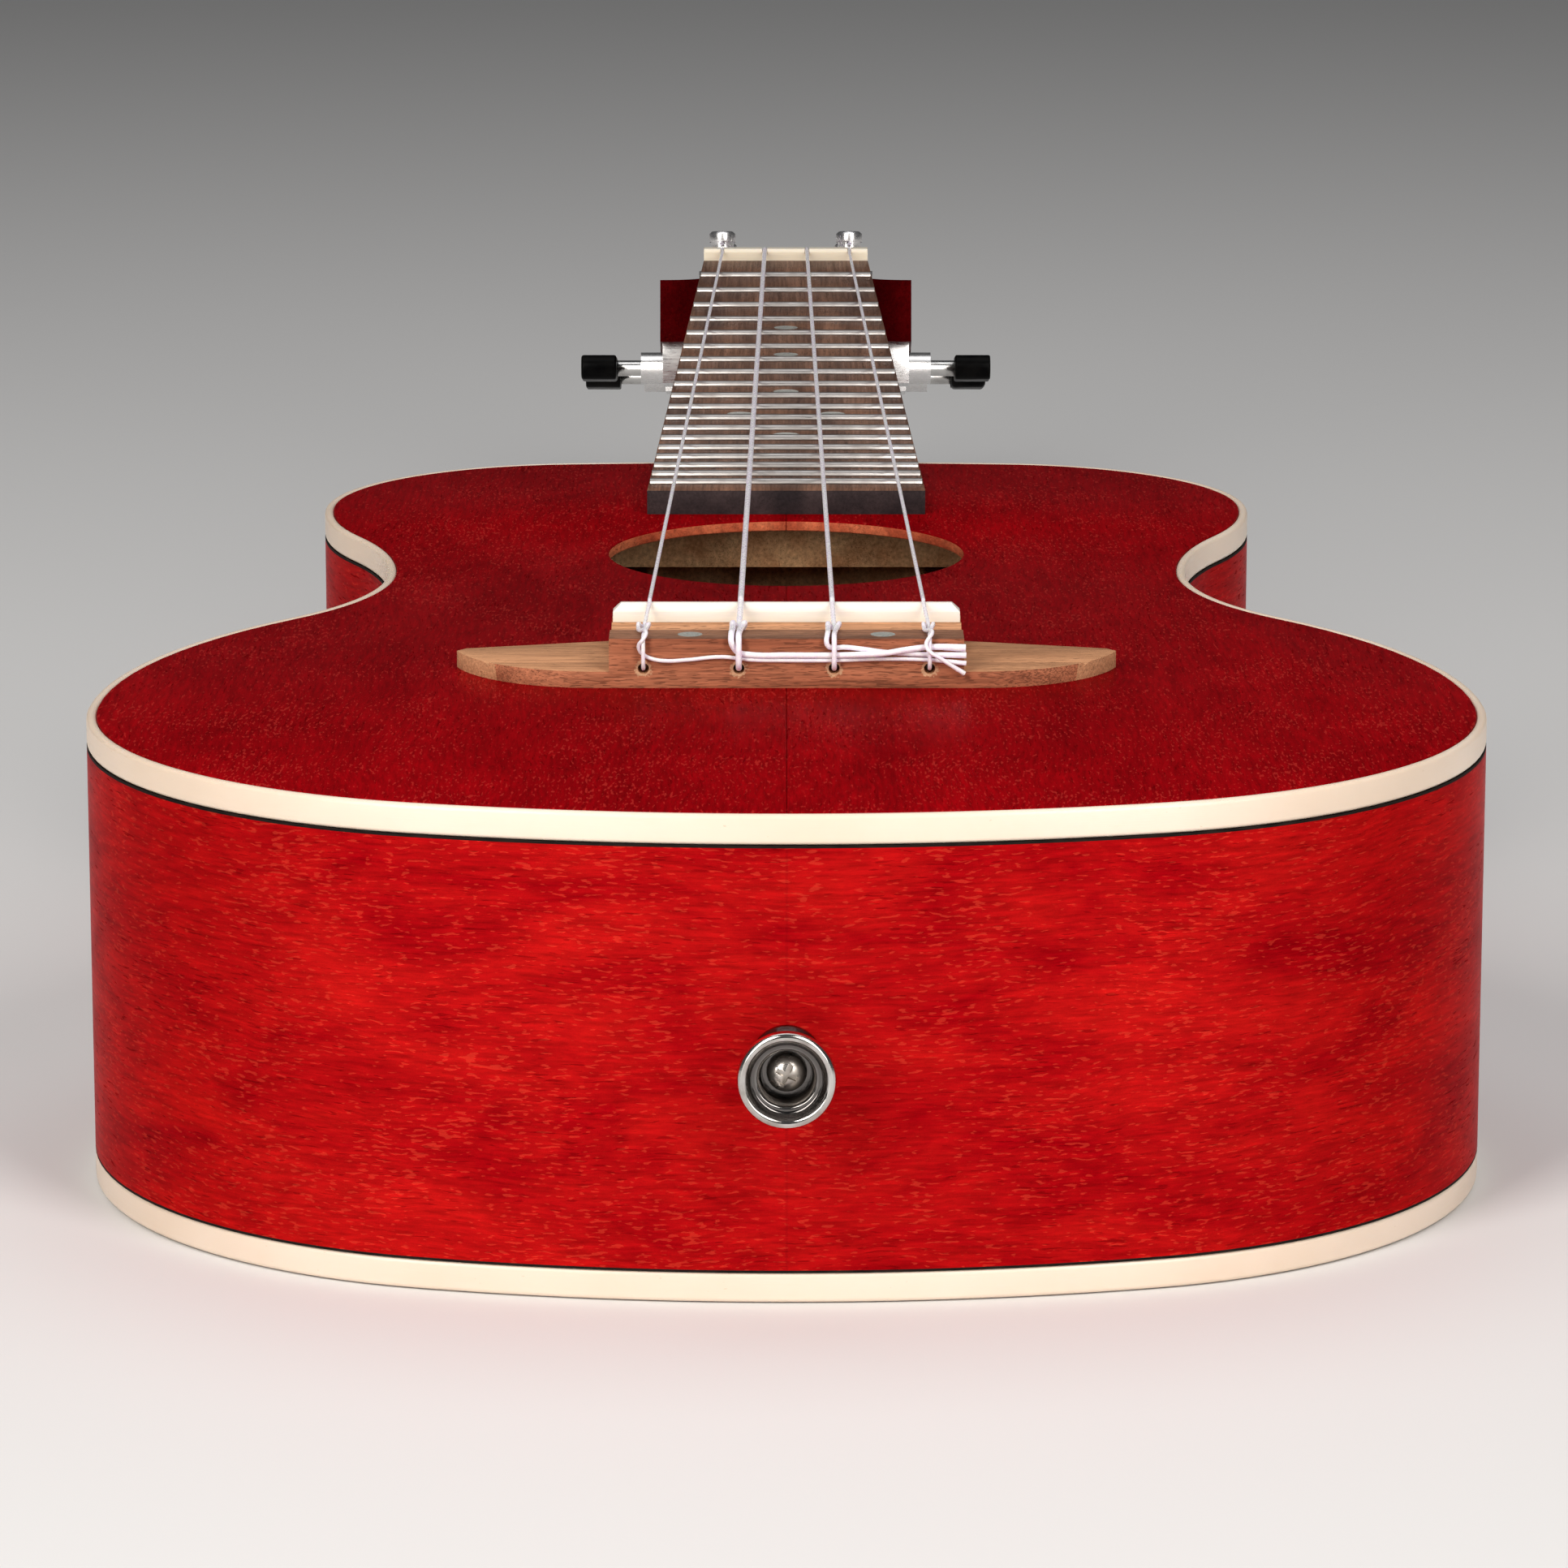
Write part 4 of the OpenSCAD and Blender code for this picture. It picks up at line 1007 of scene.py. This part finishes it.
# Each knot starts at the string's cut end and ends at the mouth of its tie hole.
knots = [
    [(52.1, -21.4, 4.15), (46.2, -21.35, 4.7), (38.9, -21.35, 4.85), (30.8, -21.35, 4.62), (23, -21.35, 4.62),
     (17.4, -21.35, 4.72), (15.4, -21.35, 4.95), (12.6, -21.35, 5.2), (7, -21.35, 4.7), (3.4, -21.35, 4.55),
     (1.2, -21.35, 4.95), (0, -21.38, 5.6), (-0.62, -21.6, 6.4), (-0.68, -21.95, 7.3), (-0.1, -22.35, 8.15),
     (0.42, -21.5, 8.9), (0.15, -19.4, 9.2), (-0.7, -17, 8.7), (-0.95, -14.2, 8.6), (-0.9, -12.75, 9),
     (-0.55, -11.75, 8.4), (0.1, -11.4, 7.75), (0.7, -11.9, 8.4), (0.75, -12.9, 9), (0.4, -14.6, 8.6),
     (0.1, -18, 8.45), (0, -20.9, 8.55), (0, -21.95, 8), (0, -22.25, 6.8), (0, -22.3, 5.2), (0, -22, 4),
     (0, -21.2, 3.3)],
    [(36.6, -21.5, 6.7), (30.8, -21.5, 6.85), (27, -22, 6.5), (23.5, -22.36, 6), (19.5, -22, 5.7), (15.4, -21.5, 5.5),
     (8, -21.5, 5.5), (1.6, -21.5, 5.6), (0, -21.55, 5.95), (-0.85, -21.8, 6.9), (-1.2, -22, 7.9),
     (-1.2, -21.3, 8.8), (-1.1, -18, 8.75), (-1.05, -14.6, 8.8), (-1, -12.9, 9.1), (-0.7, -11.8, 8.3),
     (0, -11.3, 7.35), (0.75, -11.8, 8.3), (0.9, -12.9, 9.1), (0.45, -14.6, 8.8), (0.1, -18, 8.65),
     (0, -20.8, 8.75), (0, -22.1, 8.2), (0, -22.55, 7), (0, -22.6, 5.5), (0, -22.35, 4.2), (0, -21.4, 3.4)],
    [(21.3, -21.45, 5.5), (15.4, -21.42, 5.6), (11.5, -21.42, 5.8), (8.1, -21.42, 6), (4.5, -21.42, 6.5),
     (1.6, -21.42, 6.8), (0, -21.5, 6.75), (-0.95, -21.75, 7.05), (-1.25, -21.9, 7.8), (-1.15, -21.3, 8.7),
     (-1, -18, 8.65), (-1, -14.6, 8.7), (-0.95, -12.8, 9), (-0.65, -11.8, 8.3), (0, -11.35, 7.5),
     (0.7, -11.8, 8.3), (0.85, -12.8, 9), (0.45, -14.6, 8.7), (0.1, -18, 8.55), (0, -20.8, 8.65),
     (0, -22.1, 8.1), (0, -22.45, 7), (0, -22.5, 5.5), (0, -22.3, 4.2), (0, -21.3, 3.35)],
    [(5.6, -22, 2.6), (3.2, -22.6, 4.2), (1.2, -23.1, 5.6), (0.3, -23.2, 6.15), (-0.4, -23, 6.85), (-0.6, -22.7, 7.7),
     (-0.15, -22.4, 8.5), (0.35, -21.4, 9.05), (0.2, -19.4, 9.2), (-0.6, -17, 8.7), (-0.8, -14.2, 8.6),
     (-0.85, -12.75, 9), (-0.5, -11.75, 8.4), (0.1, -11.4, 7.75), (0.65, -11.9, 8.4), (0.7, -12.9, 9),
     (0.4, -14.6, 8.6), (0.1, -18, 8.45), (0, -20.9, 8.55), (0, -22.05, 8), (0, -22.45, 6.8), (0, -22.55, 5.2),
     (0, -22.2, 4.1), (0, -21.3, 3.35)],
]
top = body_depth / MM
for i, (letter, radius) in enumerate(zip(string_names, string_radii)):
    tie_x, saddle_x, nut_x = [span * (i / 3 - 0.5) for span in (tie_span / MM, saddle_span, nut_span)]
    in_hole = [(-19.5, 3.2), (-14.2, 3.2), (-13.2, 3.45), (-12.6, 4.6), (-12.3, 6.4), (-11.9, 7.8), (-10.9, 8.35)]
    route = [(tie_x + x, y, top + z) for x, y, z in knots[i]] + [(tie_x, y, top + z) for y, z in in_hole]
    on_saddle = (saddle_x, 0, top + saddle_crown + radius)
    behind_saddle = (saddle_x, -1.1, on_saddle[2] - 0.28)
    at_nut = (nut_x, nut_y, top + nut_string_height)
    route += straight_between(route[-1], behind_saddle, [0.2, 0.8, 1])
    route += [on_saddle] + straight_between(on_saddle, at_nut, [0.003, 0.02, 0.5, 0.98, 1])
    route += [(nut_x, head_y - 1.2, at_nut[2]), (nut_x, head_y, at_nut[2] - 0.12)]
    turned_on = [
        round_post(i, groove_radius + 3 * radius + 0.04, degrees, winding_w) for degrees in range(180, 19, -20)
    ]
    route += straight_between(route[-1], turned_on[0], [0.06, 0.5, 0.9]) + turned_on
    string = drawn_tube("nylon_string_" + letter, route, radius, 1.25)
    paint(string, nylon)
    hand_over(string, "string_" + letter)

    coil_radius, coil_height = groove_radius + radius + turn_gap, winding_height - 2 * radius
    turns = coil_height / (2 * radius + turn_gap)
    low_w = winding_w - winding_height / 2 + radius
    steps = int(turns * 14)
    coil = [
        round_post(i, coil_radius, 90 + 360 * turns * (1 - k / steps), low_w + coil_height * k / steps)
        for k in range(steps + 1)
    ]
    through_post = [
        (0.35, coil_radius + 0.35, 8.6), (0.1, 3.3, 9), (0, 1.5, 9), (0, -2, 9), (0.15, -3.6, 9.1), (0.5, -5, 9.3),
    ]
    coil += [on_head(post_side[i] * (post_x + x), post_v[i] + v, w) for x, v, w in through_post]
    winding = drawn_tube("wound_turns_" + letter, coil, radius)
    paint(winding, nylon)
    hand_over(winding, "string_winding_" + letter, body="post_" + letter)

# The strap button is a turned and chromed steel spool on the middle of the tail.
# Its face is dished, and a domed screw with a worn cross recess holds it to the
# tail block.
def turned_on_tail(name, base, outline):
    """turns an outline of radius and distance out from the tail into a round piece"""
    piece = lone_point(name, outline[0][0] * MM, base.y - outline[0][1] * MM, base.z)
    for (r0, out0), (r1, out1) in zip(outline, outline[1:]):
        draw_on((r1 - r0) * MM, (out0 - out1) * MM)
    bpy.ops.mesh.select_all(action="SELECT")
    bpy.ops.mesh.spin(steps=96, angle=math.radians(360), center=base, axis=(0, 1, 0))
    bpy.ops.object.mode_set(mode="OBJECT")
    tidy_faces(piece)
    return piece


def cut_cross(piece, spot, long, narrow, deep, axis, turn):
    """cuts the cross recess of a screw head"""
    for across in (0, 1):
        size = [long, narrow] if across else [narrow, long]
        size.insert(axis, 2 * deep)
        select_nothing()
        bpy.ops.mesh.primitive_cube_add(size=1, location=spot, rotation=turn)
        cutter = bpy.context.object
        cutter.scale = size
        cutting = piece.modifiers.new("recess", "BOOLEAN")
        cutting.operation = "DIFFERENCE"
        cutting.solver = "EXACT"
        cutting.object = cutter
        bpy.context.view_layer.update()
        bpy.context.view_layer.objects.active = piece
        bpy.ops.object.modifier_apply(modifier=cutting.name)
        bpy.data.objects.remove(cutter, do_unlink=True)


chrome = metal(
    "polished_chrome", (0.62, 0.6, 0.58, 1), (0.4, 0.37, 0.34, 1), 0.12, 1.6 * MM, 0.15 * MM, smudge=0.14
)
worn_steel = metal(
    "worn_screw_steel", (0.6, 0.56, 0.52, 1), (0.36, 0.32, 0.28, 1), 0.24, 1 * MM, 0.15 * MM, smudge=0.22
)
spool_low, spool_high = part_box("strap_button")
spool_base = (spool_low + spool_high) / 2
spool_base.y = spool_high.y
# painted shade: the dish of the face and the waist behind the rim are darkened in the chrome's colour, in place of
# the dark reflections and shade they show
tree = chrome.node_tree
on_spool = split(tree, as_it_lies(tree))
from_axis = distance_from(tree, on_spool["X"], on_spool["Z"], (0.0, spool_base.z))
dish_painted_shade = math_of(
    tree, "MULTIPLY", spread(tree, from_axis, 5.2 * MM, 6.4 * MM, 1.0, 0.0),
    spread(tree, from_axis, 4.2 * MM, 4.9 * MM, 0.6, 1.0),
)
behind_rim_painted_shade = spread(tree, on_spool["Y"], spool_low.y + 1.6 * MM, spool_low.y + 2.6 * MM)
tone_over(chrome, math_of(tree, "MAXIMUM", dish_painted_shade, behind_rim_painted_shade), (0.13, 0.12, 0.115, 1))
spool = turned_on_tail("turned_strap_button", spool_base, [
    (2.1, 0.0), (5.4, 0.0), (5.4, 0.8), (4.5, 1.8), (3.7, 3.2), (3.6, 4.5), (3.6, 7.0), (3.9, 8.4), (5.2, 9.6),
    (6.6, 10.4), (7.15, 10.9), (7.4, 11.5), (7.4, 12.2), (7.2, 12.7), (6.8, 13.0), (6.4, 13.0), (6.1, 12.8),
    (5.7, 12.1), (5.3, 11.5), (5.0, 11.35), (4.7, 11.4), (4.45, 11.25), (4.2, 10.8), (3.9, 9.8), (3.75, 8.6),
    (3.6, 7.0), (2.1, 7.0), (2.1, 0.0),
])
ease_edges(spool, 0.12 * MM, 2, 22)
paint(spool, chrome)
smooth_over(spool, 40)
hand_over(spool, "strap_button")
screw = turned_on_tail("domed_strap_screw", spool_base, [
    (0.0, 9.35), (0.7, 9.3), (1.5, 9.05), (2.2, 8.6), (2.75, 8.0), (3.0, 7.4), (3.0, 7.0), (2.0, 7.0), (2.0, -21.5),
    (1.0, -23.4), (0.0, -24.0),
])
screw_face = (0, spool_base.y - 9.4 * MM, spool_base.z)
cut_cross(screw, screw_face, 3.3 * MM, 0.75 * MM, 1.1 * MM, 1, (0, math.radians(24), 0))
ease_edges(screw, 0.08 * MM, 2, 35)
paint(screw, worn_steel)
smooth_over(screw, 35)
hand_over(screw, "strap_button_screw")

# Four geared tuners sit in the headstock. Each has a chromed case on the back
# held by one screw, a bushing with a hexagon collar and a washer on the face, a
# post, a steel worm on the button's shaft, and a brass wheel.
bright_steel = metal(
    "tuner_plate", (0.93, 0.91, 0.9, 1), (0.86, 0.84, 0.82, 1), 0.27, 3 * MM, 0.2 * MM, smudge=0.06
)
shaft_steel = metal("shaft_steel", (0.7, 0.69, 0.67, 1), (0.5, 0.48, 0.46, 1), 0.2, 1 * MM, 0.15 * MM, smudge=0.14)
wheel_brass = metal(
    "wheel_brass", (0.78, 0.55, 0.24, 1), (0.5, 0.34, 0.15, 1), 0.28, 0.8 * MM, 0.15 * MM, smudge=0.2
)
for part, width in [("housings", 0.6), ("covers", 0.2), ("bushings", 0.25), ("washers", 0.15), ("screws", 0.35)]:
    node_name = "tuner_" + part
    piece = eased_copy(node_name, node_name + "_finished", width * MM, 3, 40)
    if part == "screws":
        for side, v in zip(post_side, post_v):
            spot = [value * MM for value in on_head(side * post_x, v + 8, -16.9)]
            cut_cross(piece, spot, 2.3 * MM, 0.5 * MM, 0.6 * MM, 2, (-head_tilt, 0, 0))
    paint(piece, worn_steel if part == "screws" else bright_steel)
    smooth_over(piece)
    hand_over(piece, node_name)

button_plastic, tree, shader = new_material("moulded_black_plastic")
moulded = cloud(tree, as_it_lies(tree), 1400.0, 2.0)
handled = cloud(tree, as_it_lies(tree), 180.0, 3.0)
handled_tone = spread(tree, handled, 0.4, 0.7)
feed(shader, "Base Color", blend_colours(tree, handled_tone, (0.002, 0.002, 0.0022, 1), (0.007, 0.0065, 0.006, 1)))
feed(shader, "Roughness", spread(tree, handled, 0.35, 0.7, 0.26, 0.42))
shader.inputs["Specular IOR Level"].default_value = 0.03
raise_by(tree, shader, moulded, 0.08)

for letter in string_names:
    for part, made, width, segments, degrees, stuff, slot_name, body in [
        ("tuner_button_", "moulded_button_", 1.6, 5, 50, button_plastic, "black_plastic", "knob_"),
        ("worm_shaft_", "cut_worm_", 0.12, 2, 40, shaft_steel, "plated_steel", "knob_"),
        ("string_post_", "turned_post_", 0.2, 2, 40, bright_steel, "chrome_plate", "post_"),
        ("worm_wheel_", "cut_wheel_", 0.15, 2, 40, wheel_brass, "brass_gear", "post_"),
    ]:
        piece = eased_copy(part + letter, made + letter, width * MM, segments, degrees)
        paint(piece, stuff)
        hand_over(piece, part + letter, body=body + letter)

bpy.ops.object.select_all(action="DESELECT")
